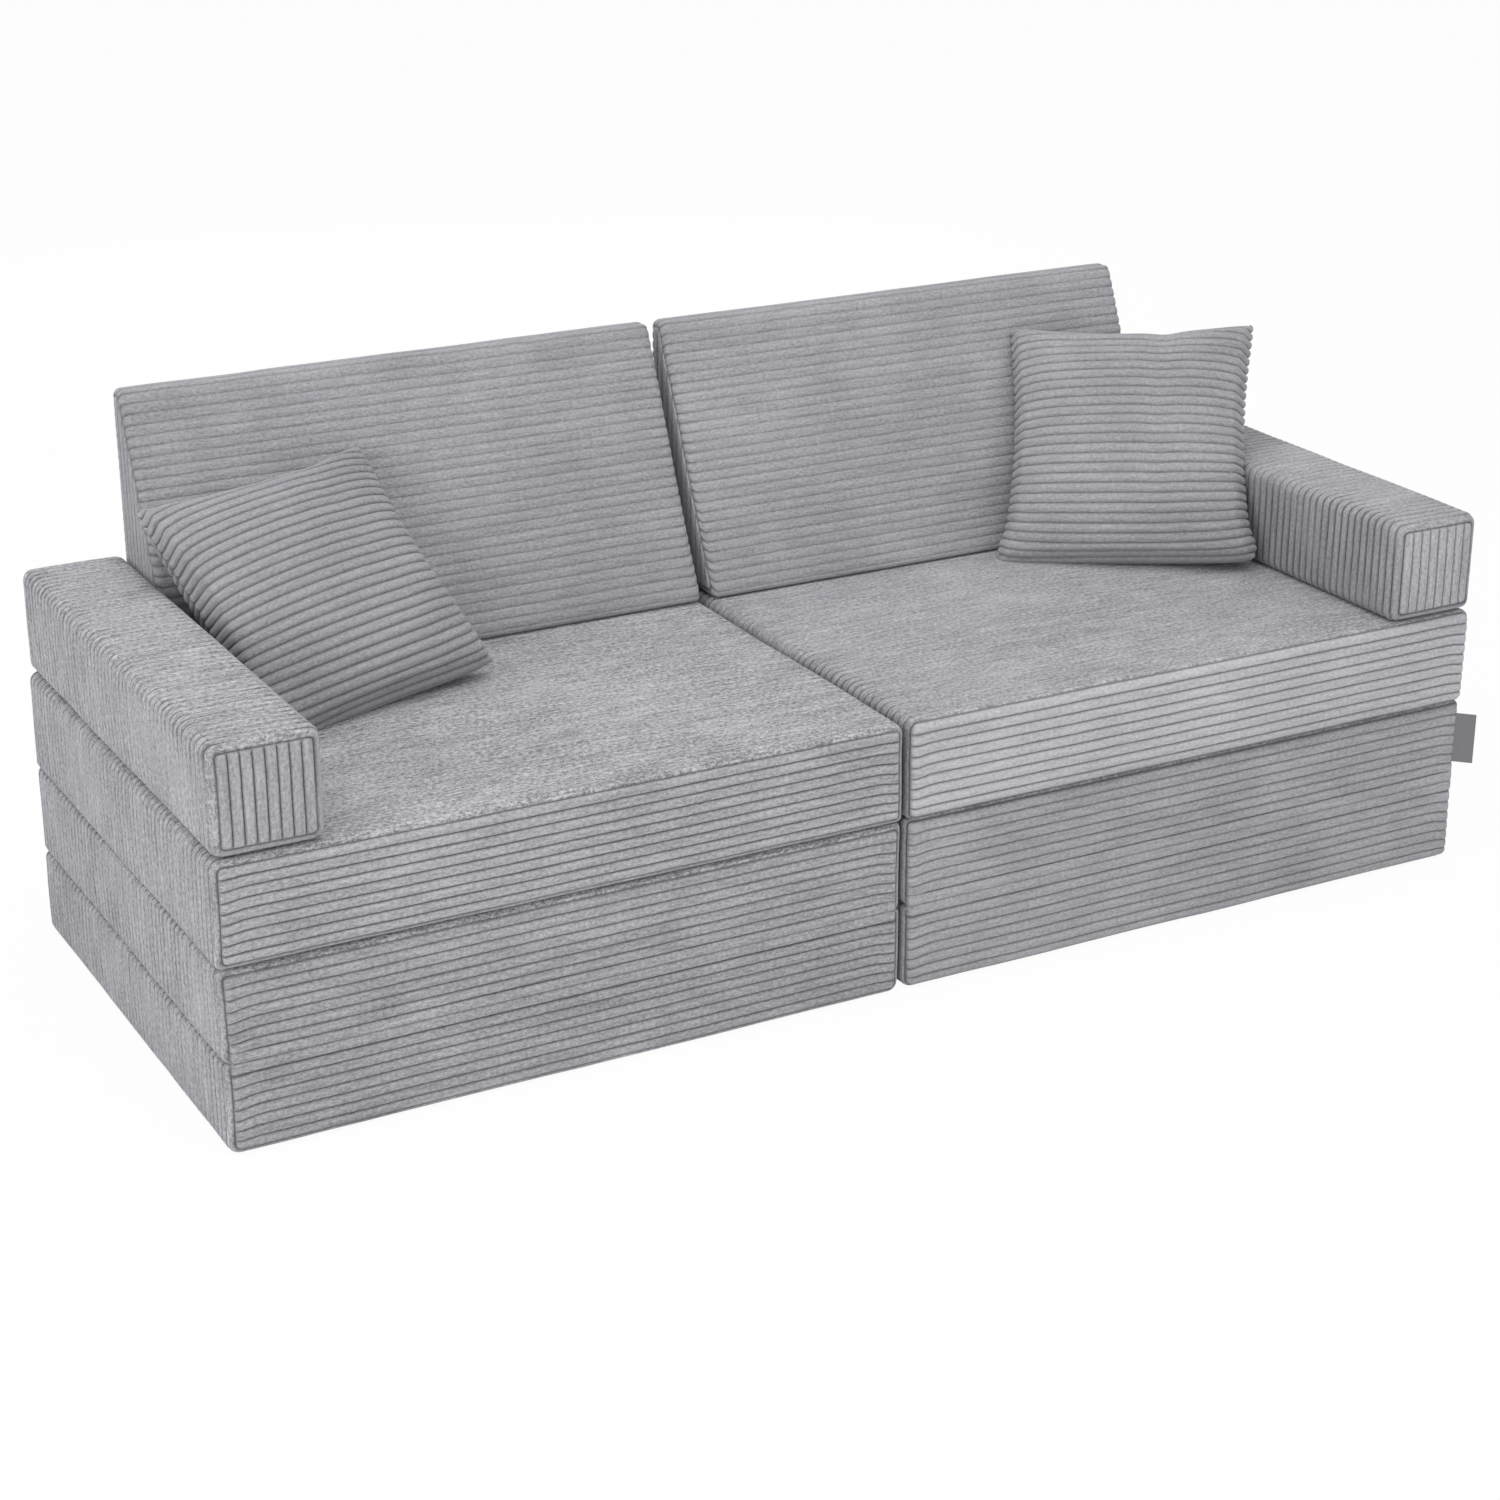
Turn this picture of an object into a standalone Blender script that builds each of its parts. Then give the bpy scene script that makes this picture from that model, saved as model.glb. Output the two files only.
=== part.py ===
# Kids' fold-out sofa in wide-rib corduroy: two alike modules side by side. Each module is a mattress
# of three hinged foam panels folded into a stack, with a loose armrest, wedge backrest and pillow.
# Metres, +Z up. The front faces -Y and the origin lies on the floor under the middle of the sofa.
# Unfolding swings the upper base panel forward about the front hinge, and the seat panel stays level.

import bpy
import bmesh
from math import radians, sqrt
from mathutils import Matrix, Vector
from mathutils.bvhtree import BVHTree

# Overall sizes, over the softly crowned faces
moduleWidth = 0.745
moduleGap = 0.010
moduleDepth = 0.600
baseHeight = 0.098
seatHeight = 0.112
armrestHeight = 0.116
armrestWidth = 0.114
backrestHeight = 0.298
backrestFoot = 0.158
backrestTop = 0.026
pillowSide = 0.292
pillowThickness = 0.112

# Fits
touch = 0.0003
foldClearance = 0.0012
overrun = 0.004

# Covers and foam
coverWall = 0.005
coverCorner = 0.012
coreCorner = 0.006
sideCrown = 0.004
frontCrown = 0.005
armrestCrown = 0.003
backrestCrown = 0.005
seatDome = 0.006

# Zips
zipMargin = 0.120
armrestZipMargin = 0.060
zipWidth = 0.016
zipTape = 0.0010
zipCoil = 0.0005
zipCoilInset = 0.005
sliderLength = 0.030
sliderWidth = 0.011
sliderThick = 0.0022
sliderEndGap = 0.002

# Hinge tapes and label
tapeThick = 0.0006
tapeLap = 0.014
tapeReach = 0.0048
labelHeight = 0.060
labelLength = 0.026
labelThick = 0.0012
labelRound = 0.0004
labelDrop = 0.014

# Pillows
pillowWall = 0.003
pillowSeam = 0.012
pillowBand = 0.003
pillowCoreBand = 0.0012
pillowSlit = 0.0010
pillowSlitLength = 0.170
pillowReach = 0.300

# Shapes without a length: shares of a size, angles and counts
pillowDrawShare = 0.085
pillowSwellPower = 0.42
pillowCutShares = (-0.93, -0.72, -0.38, 0.0, 0.38, 0.72, 0.93)
pillowCoreCutShares = (-0.82, -0.45, 0.0, 0.45, 0.82)
blockCutShares = (-0.5, 0.0, 0.5)
endCutShares = (0.0,)
domeCutShares = (-0.6, 0.0, 0.6)
sliderOutlineShares = ((0.0, 0.30), (0.06, 0.50), (0.40, 0.50), (0.47, 0.20), (0.56, 0.20),
                       (0.60, 0.34), (0.94, 0.34), (1.0, 0.20))
sliderHoleShares = ((0.68, 0.15), (0.90, 0.15))
cornerSegments = 3
coreSegments = 2
sharpAngle = radians(40)
# Yaw, lean and roll of the two pillows, and where they are let down: shares of the free seat
pillowPoses = {"left": (radians(-5), radians(49), radians(7)),
               "right": (radians(41), radians(36), radians(4.5))}
pillowDropShares = {"left": (0.66, 0.62), "right": (0.61, 0.49)}

# Heights and planes that the pieces share. X is measured outward from the middle of the sofa.
xInner = moduleGap / 2
xOuter = xInner + moduleWidth
xArmrest = xOuter - armrestWidth
yFront = -moduleDepth / 2 + frontCrown
yRear = moduleDepth / 2 - foldClearance
zUpper = baseHeight + touch
zSeat = zUpper + baseHeight + touch
zLoose = zSeat + seatHeight + touch
yFoot = yRear - backrestFoot
yFrontHinge = yFront - foldClearance
yRearHinge = yRear + foldClearance
zFrontHinge = baseHeight + touch / 2
zRearHinge = zSeat - touch / 2

for leftover in list(bpy.data.objects):
    bpy.data.objects.remove(leftover, do_unlink=True)

partCollection = bpy.data.collections.new("kids_fold_out_sofa")
cutterCollection = bpy.data.collections.new("cutters")
for collection in (partCollection, cutterCollection):
    bpy.context.scene.collection.children.link(collection)


def makeMaterial(name, colour, roughness, metallic=0.0):
    material = bpy.data.materials.new(name)
    material.use_nodes = True
    shader = material.node_tree.nodes["Principled BSDF"]
    shader.inputs["Base Color"].default_value = (*colour, 1.0)
    shader.inputs["Roughness"].default_value = roughness
    shader.inputs["Metallic"].default_value = metallic
    material.diffuse_color = (*colour, 1.0)
    return material


# One material for each sub-part, from these finishes: colour, roughness and metallic
finishes = {"corduroy": ((0.33, 0.33, 0.35), 0.95, 0.0),
            "foam": ((0.80, 0.79, 0.74), 0.90, 0.0),
            "fibre": ((0.86, 0.86, 0.86), 0.95, 0.0),
            "tape": ((0.27, 0.27, 0.28), 0.80, 0.0),
            "nickel": ((0.62, 0.62, 0.60), 0.35, 1.0),
            "label": ((0.52, 0.52, 0.53), 0.70, 0.0)}


def makePivot(name, place, parent=None):
    # An empty on a joint's axis. Pivots are unturned, so places subtract
    pivot = bpy.data.objects.new(name, None)
    partCollection.objects.link(pivot)
    pivot["place"] = tuple(place)
    if parent is not None:
        pivot.parent = parent
        place = Vector(place) - Vector(parent["place"])
    pivot.location = place
    return pivot


def addPiece(name, data, place, pivot, finish, turn=None):
    # Links one sub-part at a world place and turn, under the pivot of the body that carries it
    if finish is not None:
        data.materials.clear()
        data.materials.append(makeMaterial(name, *finishes[finish]))
    piece = bpy.data.objects.new(name, data)
    if pivot is None:
        cutterCollection.objects.link(piece)
        piece.hide_render = True
        piece.display_type = "WIRE"
        piece.location = place
    else:
        partCollection.objects.link(piece)
        piece.parent = pivot
        piece.location = Vector(place) - Vector(pivot["place"])
    if turn is not None:
        piece.rotation_mode = "QUATERNION"
        piece.rotation_quaternion = turn.to_quaternion()
    return piece


def finishMesh(form, name, mirrored=False):
    # Turns a bmesh into mesh data, mirrored in X for the left module
    if mirrored:
        bmesh.ops.scale(form, verts=form.verts, vec=(-1, 1, 1))
        bmesh.ops.reverse_faces(form, faces=form.faces)
    data = bpy.data.meshes.new(name)
    form.to_mesh(data)
    form.free()
    data.shade_smooth()
    data.set_sharp_from_angle(angle=sharpAngle)
    return data


def cutCube(cuts):
    # A cube from -1 to 1, cut across each axis at the given shares of its half size
    form = bmesh.new()
    bmesh.ops.create_cube(form, size=2)
    for axis, shares in enumerate(cuts):
        normal = [0, 0, 0]
        normal[axis] = 1
        for share in shares:
            place = [0, 0, 0]
            place[axis] = share
            everything = list(form.verts) + list(form.edges) + list(form.faces)
            bmesh.ops.bisect_plane(form, geom=everything, plane_co=place, plane_no=normal)
    return form


def makeBox(low, high, frontTop=None):
    # The outer box of a foam block. frontTop is where its front face ends at the top of a wedge
    return {"low": Vector(low), "high": Vector(high), "frontTop": low[1] if frontTop is None else frontTop}


def insetBox(box, inset):
    # The same block with every face moved inward, the slanted front square to its slope
    low, high = box["low"], box["high"]
    slope = (box["frontTop"] - low.y) / (high.z - low.z)
    inward = inset * sqrt(1 + slope * slope)
    return makeBox((low.x + inset, low.y + slope * inset + inward, low.z + inset),
                   (high.x - inset, high.y - inset, high.z - inset),
                   box["frontTop"] - slope * inset + inward)


def withinCrowns(box, crowns):
    # Sets the edges back by each face's crown, so the crown's peak reaches the given box
    front = crowns.get("front", 0)
    low = box["low"] + Vector((crowns.get("inner", 0), front, crowns.get("bottom", 0)))
    high = box["high"] - Vector((crowns.get("outer", 0), crowns.get("rear", 0), crowns.get("top", 0)))
    return makeBox(low, high, box["frontTop"] + front)


def blockForm(box, crowns, cuts, dome=None):
    # A block whose faces swell by (1 - a^2)(1 - b^2) of their crown, a and b being -1 to 1 over the face
    low, high, frontTop = box["low"], box["high"], box["frontTop"]
    form = cutCube(cuts)
    for vertex in form.verts:
        u, v, w = vertex.co
        front = low.y + (frontTop - low.y) * (w + 1) / 2
        place = Vector((low.x + (high.x - low.x) * (u + 1) / 2,
                        front + (high.y - front) * (v + 1) / 2,
                        low.z + (high.z - low.z) * (w + 1) / 2))
        overX, overY, overZ = ((1 - v * v) * (1 - w * w), (1 - u * u) * (1 - w * w),
                               (1 - u * u) * (1 - v * v))
        place.x += overX * (crowns.get("outer", 0) * (1 + u) - crowns.get("inner", 0) * (1 - u)) / 2
        place.y += overY * (crowns.get("rear", 0) * (1 + v) - crowns.get("front", 0) * (1 - v)) / 2
        place.z += overZ * (crowns.get("top", 0) * (1 + w) - crowns.get("bottom", 0) * (1 - w)) / 2
        if dome is not None:
            place.z += dome["height"] * domeShare(dome, place.x, place.y) * (1 + w) / 2
        vertex.co = place
    return form


def domeShare(dome, x, y):
    # Rises from 0 at the rim of the free seat to 1 in its middle
    across = (2 * x - dome["low"][0] - dome["high"][0]) / (dome["high"][0] - dome["low"][0])
    along = (2 * y - dome["low"][1] - dome["high"][1]) / (dome["high"][1] - dome["low"][1])
    return max(0, 1 - across * across) * max(0, 1 - along * along)


def addBevel(piece, width, segments):
    bevel = piece.modifiers.new("round edges", "BEVEL")
    bevel.width = width
    bevel.segments = segments
    bevel.limit_method = "ANGLE"
    bevel.angle_limit = sharpAngle


def addCut(piece, cutter, name):
    cut = piece.modifiers.new(name, "BOOLEAN")
    cut.operation = "DIFFERENCE"
    cut.object = cutter


def boxBetween(low, high, inset=0):
    form = bmesh.new()
    bmesh.ops.create_cube(form, size=1)
    size = [high[axis] - low[axis] - 2 * inset for axis in range(3)]
    middle = [(high[axis] + low[axis]) / 2 for axis in range(3)]
    bmesh.ops.scale(form, verts=form.verts, vec=size)
    bmesh.ops.translate(form, verts=form.verts, vec=middle)
    return form


def sliderCurve():
    # The zip slider with its pull tab and the tab's hole, a flat outline along +X
    curve = bpy.data.curves.new("zip_slider", "CURVE")
    curve.dimensions = "2D"
    curve.fill_mode = "BOTH"
    curve.extrude = sliderThick / 2
    right = [(x * sliderLength, -y * sliderWidth) for x, y in sliderOutlineShares]
    left = [(x, -y) for x, y in reversed(right)]
    hole = [(x * sliderLength, -y * sliderWidth) for x, y in sliderHoleShares]
    hole += [(x, -y) for x, y in reversed(hole)]
    for outline in (right + left, hole):
        spline = curve.splines.new("POLY")
        spline.points.add(len(outline) - 1)
        for point, (x, y) in zip(spline.points, outline):
            point.co = (x, y, 0, 1)
        spline.use_cyclic_u = True
    return curve


def addZip(name, box, wall, margin, side, pivot):
    # A zip let into one wall of a cover: the slot's cutter, the closed chain and the slider above it.
    # The chain lies flush with the wall's inner face, and the slider stays below its outer face.
    low, high = box["low"], box["high"]
    if wall == "rear":
        along, out, across, face, sign = 0, 1, 2, high.y, 1
    elif wall == "bottom":
        along, out, across, face, sign = 0, 2, 1, low.z, -1
    else:
        along, out, across, face, sign = 1, 2, 0, low.z, -1
    middle = (low + high) / 2
    start, end = low[along] + margin, high[along] - margin

    def corners(depthIn, depthOut, inset):
        first, last = Vector((0, 0, 0)), Vector((0, 0, 0))
        first[along], last[along] = start + inset, end - inset
        first[across], last[across] = middle[across] - zipWidth / 2 + inset, middle[across] + zipWidth / 2 - inset
        depths = sorted((face - sign * depthIn, face - sign * depthOut))
        first[out], last[out] = depths
        return first, last

    slot = finishMesh(boxBetween(*corners(coverWall + overrun, -overrun, 0)), name + "_slot", side < 0)
    slotCutter = addPiece(name + "_slot_cutter", slot, (0, 0, 0), None, None)

    chain = boxBetween(*corners(coverWall, coverWall - zipTape, touch))
    chain.faces.ensure_lookup_table()
    chain.normal_update()
    outward = max(chain.faces, key=lambda face: sign * face.normal[out])
    bmesh.ops.inset_region(chain, faces=[outward], thickness=zipCoilInset, depth=0)
    for vertex in outward.verts:
        vertex.co[out] += sign * zipCoil
    addPiece(name + "_zip", finishMesh(chain, name + "_zip", side < 0), (0, 0, 0), pivot, "tape")
    recentre(partCollection.objects[name + "_zip"])

    # The slider's own +X runs along the zip, back from its closed end, and its +Z points out of the wall
    place = Vector((0, 0, 0))
    place[along] = end - sliderEndGap
    place[across] = middle[across]
    place[out] = face - sign * (coverWall - zipTape - zipCoil - touch - sliderThick / 2)
    place.x *= side
    axisAlong = Vector((0, 0, 0))
    axisAlong[along] = -side if along == 0 else -1
    axisOut = Vector((0, 0, 0))
    axisOut[out] = sign
    turn = Matrix((axisAlong, axisOut.cross(axisAlong), axisOut)).transposed()
    addPiece(name + "_slider", sliderCurve(), place, pivot, "nickel", turn)
    return slotCutter


def recentre(piece):
    # Puts the origin of a piece in the middle of its own mesh
    places = [vertex.co for vertex in piece.data.vertices]
    middle = (Vector([min(place[axis] for place in places) for axis in range(3)])
              + Vector([max(place[axis] for place in places) for axis in range(3)])) / 2
    piece.data.transform(Matrix.Translation(-middle))
    piece.location += middle


def addCushion(name, box, crowns, cuts, side, pivot, zipWall, margin, dome=None):
    # A hollow zipped cover round its foam core
    edges = withinCrowns(box, crowns)
    cover = addPiece(name + "_cover", finishMesh(blockForm(edges, crowns, cuts, dome), name + "_cover", side < 0),
                     (0, 0, 0), pivot, "corduroy")
    addBevel(cover, coverCorner, cornerSegments)

    cavityBox = insetBox(edges, coverWall)
    cavity = addPiece(name + "_cavity_cutter", finishMesh(blockForm(cavityBox, {}, ((), (), ())), name + "_cavity",
                      side < 0), (0, 0, 0), None, None)
    addBevel(cavity, coreCorner, coreSegments)
    addCut(cover, cavity, "hollow")
    addCut(cover, addZip(name, edges, zipWall, margin, side, pivot), "zip slot")

    core = addPiece(name + "_core", finishMesh(blockForm(insetBox(cavityBox, touch), {}, ((), (), ())),
                    name + "_core", side < 0), (0, 0, 0), pivot, "foam")
    addBevel(core, coreCorner, coreSegments)
    for piece in (cover, core):
        recentre(piece)
    return cover


def pillowForm(side, thickness, band, cuts):
    # A knife-edge pillow in its own XZ plane. Its edges curve in between the pointed corners, and
    # its faces swell by ((1 - u^2)(1 - v^2)) to a power below one half
    form = cutCube((cuts, (), cuts))
    for vertex in form.verts:
        u, w, v = vertex.co
        swell = max(0, (1 - u * u) * (1 - v * v)) ** pillowSwellPower
        vertex.co = (side / 2 * u * (1 - pillowDrawShare * (1 - v * v)),
                     w * (band + (thickness - band) * swell) / 2,
                     side / 2 * v * (1 - pillowDrawShare * (1 - u * u)))
    return form


def splitQuads(form):
    # Cuts every quad along the same diagonal, so a filling and the hollow round it bend alike
    bmesh.ops.triangulate(form, faces=form.faces, quad_method="FIXED")
    return form


def surfaceOf(piece):
    # The evaluated surface of a piece in world space: its places and its faces
    graph = bpy.context.evaluated_depsgraph_get()
    evaluated = piece.evaluated_get(graph)
    data = evaluated.to_mesh()
    places = [evaluated.matrix_world @ vertex.co for vertex in data.vertices]
    faces = [polygon.vertices[:] for polygon in data.polygons]
    evaluated.to_mesh_clear()
    return places, faces


def hullOf(piece):
    # The convex hull of a piece. MuJoCo touches with it, and it fills the hollows between the corners
    form = bmesh.new()
    for place in surfaceOf(piece)[0]:
        form.verts.new(place)
    bmesh.ops.convex_hull(form, input=form.verts)
    form.verts.index_update()
    hull = ([vertex.co.copy() for vertex in form.verts],
            [[vertex.index for vertex in face.verts] for face in form.faces])
    form.free()
    return hull


def treeOf(surface, offset=Vector((0, 0, 0))):
    places, faces = surface
    return BVHTree.FromPolygons([place + offset for place in places], faces)


def restAgainst(piece, trees, direction, reach):
    # Moves a piece along a direction until its hull would touch, then keeps the named gap
    hull = hullOf(piece)
    near, far = 0, reach
    for halving in range(18):
        middle = (near + far) / 2
        moved = treeOf(hull, direction * middle)
        steps = [treeOf(hull, direction * middle * share) for share in (0.5, 0.75)]
        if any(moved.overlap(tree) or any(step.overlap(tree) for step in steps) for tree in trees):
            far = middle
        else:
            near = middle
    if far < reach:
        piece.location += direction * (near - touch)
        bpy.context.view_layer.update()


def addPillow(name, side, pivot, obstacles):
    # The pillow stands in the corner of its armrest and backrest, let down on to the seat
    yaw, lean, roll = pillowPoses[name]
    turn = (Matrix.Rotation(-yaw, 3, "Z") @ Matrix.Rotation(-lean, 3, "X") @ Matrix.Rotation(-roll, 3, "Y"))
    acrossShare, alongShare = pillowDropShares[name]
    start = Vector((side * (xInner + (xArmrest - xInner) * acrossShare),
                    yFront + (yFoot - yFront) * alongShare,
                    zLoose + pillowReach))
    cover = addPiece(name + "_pillow_cover", finishMesh(pillowForm(pillowSide, pillowThickness, pillowBand,
                     pillowCutShares), name + "_pillow_cover"), start, pivot, "corduroy", turn)
    smooth = cover.modifiers.new("soft", "SUBSURF")
    smooth.levels = 1
    smooth.render_levels = 1
    bpy.context.view_layer.update()
    trees = [treeOf(surfaceOf(obstacle)) for obstacle in obstacles]
    down, back, out = Vector((0, 0, -1)), Vector((0, 1, 0)), Vector((side, 0, 0))
    for direction in (down, out, back, down, out, back, down):
        restAgainst(cover, trees, direction, pillowReach)

    place = cover.location + Vector(pivot["place"])
    hollow = pillowSide - 2 * pillowSeam
    inner = pillowThickness - 2 * pillowWall
    cavity = addPiece(name + "_pillow_cavity_cutter", finishMesh(splitQuads(pillowForm(hollow, inner,
                      pillowCoreBand, pillowCoreCutShares)), name + "_pillow_cavity"),
                      place, None, None, turn)
    addCut(cover, cavity, "hollow")
    edge = pillowSide / 2
    slit = addPiece(name + "_pillow_slit_cutter", finishMesh(boxBetween(
                    (-pillowSlitLength / 2, -pillowSlit / 2, -edge - overrun),
                    (pillowSlitLength / 2, pillowSlit / 2, -edge + 3 * pillowSeam)),
                    name + "_pillow_slit"), place, None, None, turn)
    addCut(cover, slit, "turning slit")
    addPiece(name + "_pillow_filling", finishMesh(splitQuads(pillowForm(hollow - 2 * touch,
             inner - 2 * touch, pillowCoreBand - 2 * touch, pillowCoreCutShares)),
             name + "_pillow_filling"), place, pivot, "fibre", turn)


def addTape(name, face, sign, hinge, side, pivot):
    # A hinge tape flush on a front or rear face. Above the axis it stays inside the turning circle
    depths = sorted((face + sign * touch, face + sign * (touch + tapeThick)))
    form = boxBetween((xInner + sideCrown + coverCorner, depths[0], hinge - tapeLap),
                      (xOuter - sideCrown - coverCorner, depths[1], hinge + tapeReach))
    piece = addPiece(name, finishMesh(form, name, side < 0), (0, 0, 0), pivot, "tape")
    recentre(piece)


def addModule(name, side, root):
    # One module, from the floor up
    basePivot = makePivot(name + "_base_unfold_axis", (side * (xInner + xOuter) / 2, yFrontHinge, zFrontHinge), root)
    seatPivot = makePivot(name + "_seat_unfold_axis", (side * (xInner + xOuter) / 2, yRearHinge, zRearHinge),
                          basePivot)
    loosePlace = (side * (xInner + xOuter) / 2, 0, zLoose)
    armrestPivot, backrestPivot, pillowPivot = (makePivot(name + "_" + loose + "_lift_axis", loosePlace, seatPivot)
                                                for loose in ("armrest", "backrest", "pillow"))
    sides = {"inner": sideCrown, "outer": sideCrown}
    panelCuts = (blockCutShares, blockCutShares, endCutShares)
    panels = (("base_lower", 0, root), ("base_upper", zUpper, basePivot))
    for panel, floor, pivot in panels:
        box = makeBox((xInner, yFront, floor), (xOuter, yRear, floor + baseHeight))
        addCushion(name + "_" + panel, box, sides, panelCuts, side, pivot, "rear", zipMargin)
    addTape(name + "_front_hinge_tape", yFront, -1, zFrontHinge, side, root)
    addTape(name + "_rear_hinge_tape", yRear, 1, zRearHinge, side, basePivot)

    # The seat panel domes between the armrest, the backrest and its own edges
    seatBox = makeBox((xInner, yFront - frontCrown, zSeat), (xOuter, yRear, zSeat + seatHeight))
    dome = {"height": seatDome, "low": (xInner + sideCrown, yFront), "high": (xArmrest, yFoot)}

    def sharesOf(low, high, domeLow, domeHigh, edge):
        middle, half = (domeLow + domeHigh) / 2, (domeHigh - domeLow) / 2
        places = [middle + half * share for share in domeCutShares] + [edge]
        return tuple((2 * place - low - high) / (high - low) for place in places)

    seatCuts = (sharesOf(xInner + sideCrown, xOuter - sideCrown, dome["low"][0], dome["high"][0], xArmrest),
                sharesOf(yFront, yRear, dome["low"][1], dome["high"][1], yFoot), endCutShares)
    seat = addCushion(name + "_seat", seatBox, {**sides, "front": frontCrown}, seatCuts, side, seatPivot,
                      "rear", zipMargin, dome)

    armrestBox = makeBox((xArmrest, yFront - armrestCrown, zLoose), (xOuter, yRear, zLoose + armrestHeight))
    armrestCrowns = {"inner": armrestCrown, "outer": armrestCrown, "front": armrestCrown, "top": armrestCrown}
    armrest = addCushion(name + "_armrest", armrestBox, armrestCrowns, (endCutShares, blockCutShares, endCutShares),
                         side, armrestPivot, "underside", armrestZipMargin)

    backrestBox = makeBox((xInner, yFoot, zLoose), (xArmrest - touch, yRear, zLoose + backrestHeight),
                          yRear - backrestTop)
    backrestCrowns = {"inner": armrestCrown, "front": backrestCrown}
    backrest = addCushion(name + "_backrest", backrestBox, backrestCrowns,
                          (blockCutShares, (), blockCutShares), side, backrestPivot, "bottom", zipMargin)

    bpy.context.view_layer.update()
    addPillow(name, side, pillowPivot, (seat, armrest, backrest))
    return basePivot


sofaRoot = makePivot("sofa_root", (0, 0, 0))
rightRoot = makePivot("right_module_slide_axis", ((xInner + xOuter) / 2, 0, 0), sofaRoot)
addModule("left", -1, sofaRoot)
rightBasePivot = addModule("right", 1, rightRoot)

# The blank label stands out of the corner seam of the right module's upper base panel
labelForm = boxBetween((0, -labelThick / 2, -labelHeight / 2), (labelLength, labelThick / 2, labelHeight / 2))
cornerInset = sideCrown + coverCorner * (1 - sqrt(0.5)) - touch
label = addPiece("label", finishMesh(labelForm, "label"),
                 (xOuter - cornerInset, yFront + coverCorner * (1 - sqrt(0.5)) - touch,
                  zUpper + baseHeight - labelDrop - labelHeight / 2),
                 rightBasePivot, "label", Matrix.Rotation(radians(-45), 3, "Z"))
addBevel(label, labelRound, coreSegments)
bpy.context.view_layer.update()
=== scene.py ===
import math

import bmesh
import bpy
import numpy as np
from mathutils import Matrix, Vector


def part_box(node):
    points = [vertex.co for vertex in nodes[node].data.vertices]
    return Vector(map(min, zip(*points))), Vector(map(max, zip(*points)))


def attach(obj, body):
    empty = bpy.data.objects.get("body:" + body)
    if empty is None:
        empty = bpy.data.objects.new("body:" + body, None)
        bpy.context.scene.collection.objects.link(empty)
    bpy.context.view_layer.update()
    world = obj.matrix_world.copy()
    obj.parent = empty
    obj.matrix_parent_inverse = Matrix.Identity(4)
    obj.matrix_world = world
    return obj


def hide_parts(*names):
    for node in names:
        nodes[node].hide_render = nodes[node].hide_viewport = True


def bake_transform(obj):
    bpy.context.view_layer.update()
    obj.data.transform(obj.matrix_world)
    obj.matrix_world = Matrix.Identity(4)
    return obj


# Kids' fold-out sofa in wide-rib corduroy. Metres, +Z up, the front faces -Y.
# Pieces are worked out for the right module, X counted outward, and mirrored for the left one.

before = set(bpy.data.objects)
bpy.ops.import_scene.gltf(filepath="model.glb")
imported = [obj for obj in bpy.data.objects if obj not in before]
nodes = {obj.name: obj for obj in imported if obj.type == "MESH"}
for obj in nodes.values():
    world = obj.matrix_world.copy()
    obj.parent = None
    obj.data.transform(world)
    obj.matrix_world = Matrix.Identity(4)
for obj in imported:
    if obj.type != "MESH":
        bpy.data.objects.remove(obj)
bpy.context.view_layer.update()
scene = bpy.context.scene
print("frame loaded,", len(nodes), "nodes")

# Corduroy, shared by every cushion
cord = {"pitch": 0.0116,          # from groove to groove
        "depth": 0.0019,
        "seamDepth": 0.0017,      # how far the cloth is drawn in along the seams of the end faces
        "seamReach": 0.0016,
        "seamEnd": 0.0032,        # over which the ribs round down where they end at a seam
        "seamWidth": 0.0006,
        "seamRadius": 0.0055,     # least radius of a seam's corners
        # seamShade and seamBreak are painted shade: the seam's crease is painted darker beside a groove and
        # paler on a rib
        "seamShade": 0.66,        # how dark the seam is beside a groove
        "seamBreak": 0.4,         # how much paler it is where it crosses a rib
        "seamSag": 0.030,         # over which its pull draws the ends of the ribs down
        "edgeReach": 0.011,       # over which ribs stand out more where they turn over an edge
        "edgeShade": {"round": 0.6, "along": 0.7},
        "endRows": (0.002, 0.006),      # close rows go this far past the rounding, and then one step
        "hingeInset": 0.03,       # share of an end's rounding that is left beside a hinge
        "hingeStep": (0.0012, 0.35),    # over which a cover steps back under the strip, and how early
        "channelStep": 0.0004,    # from the wall of a zip's channel to the rows beside it
        "uneven": 0.75,           # how uneven the grooves are, in patches of unevenSize
        "unevenSize": 0.10,
        "tone": 0.03,             # how far the ribs differ in tone
        "phases": (0.0, 0.04, 0.10, 0.22, 0.50, 0.78, 0.90, 0.96),
        "power": 5.0}


def srgb(text):
    # An sRGB hex colour as linear red, green, blue and alpha
    parts = [int(text[i:i + 2], 16) / 255 for i in (1, 3, 5)]
    return tuple(c / 12.92 if c <= 0.04045 else ((c + 0.055) / 1.055) ** 2.4 for c in parts) + (1.0,)


def addNode(tree, kind, settings=None, links=None):
    # Adds a node, sets its properties and sockets, and links sockets. A socket goes by name or number
    node = tree.nodes.new(kind)
    for name, value in (settings or {}).items():
        if isinstance(name, int) or name in node.inputs:
            node.inputs[name].default_value = value
        else:
            setattr(node, name, value)
    for name, source in (links or {}).items():
        tree.links.new(source, node.inputs[name])
    return node


def newMaterial(name, settings):
    # A material with a Principled shader, set as given, and its output
    material = bpy.data.materials.new(name)
    material.use_nodes = True
    tree = material.node_tree
    tree.nodes.clear()
    shader = addNode(tree, "ShaderNodeBsdfPrincipled", settings)
    addNode(tree, "ShaderNodeOutputMaterial", {}, {"Surface": shader.outputs["BSDF"]})
    return material, tree, shader


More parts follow.
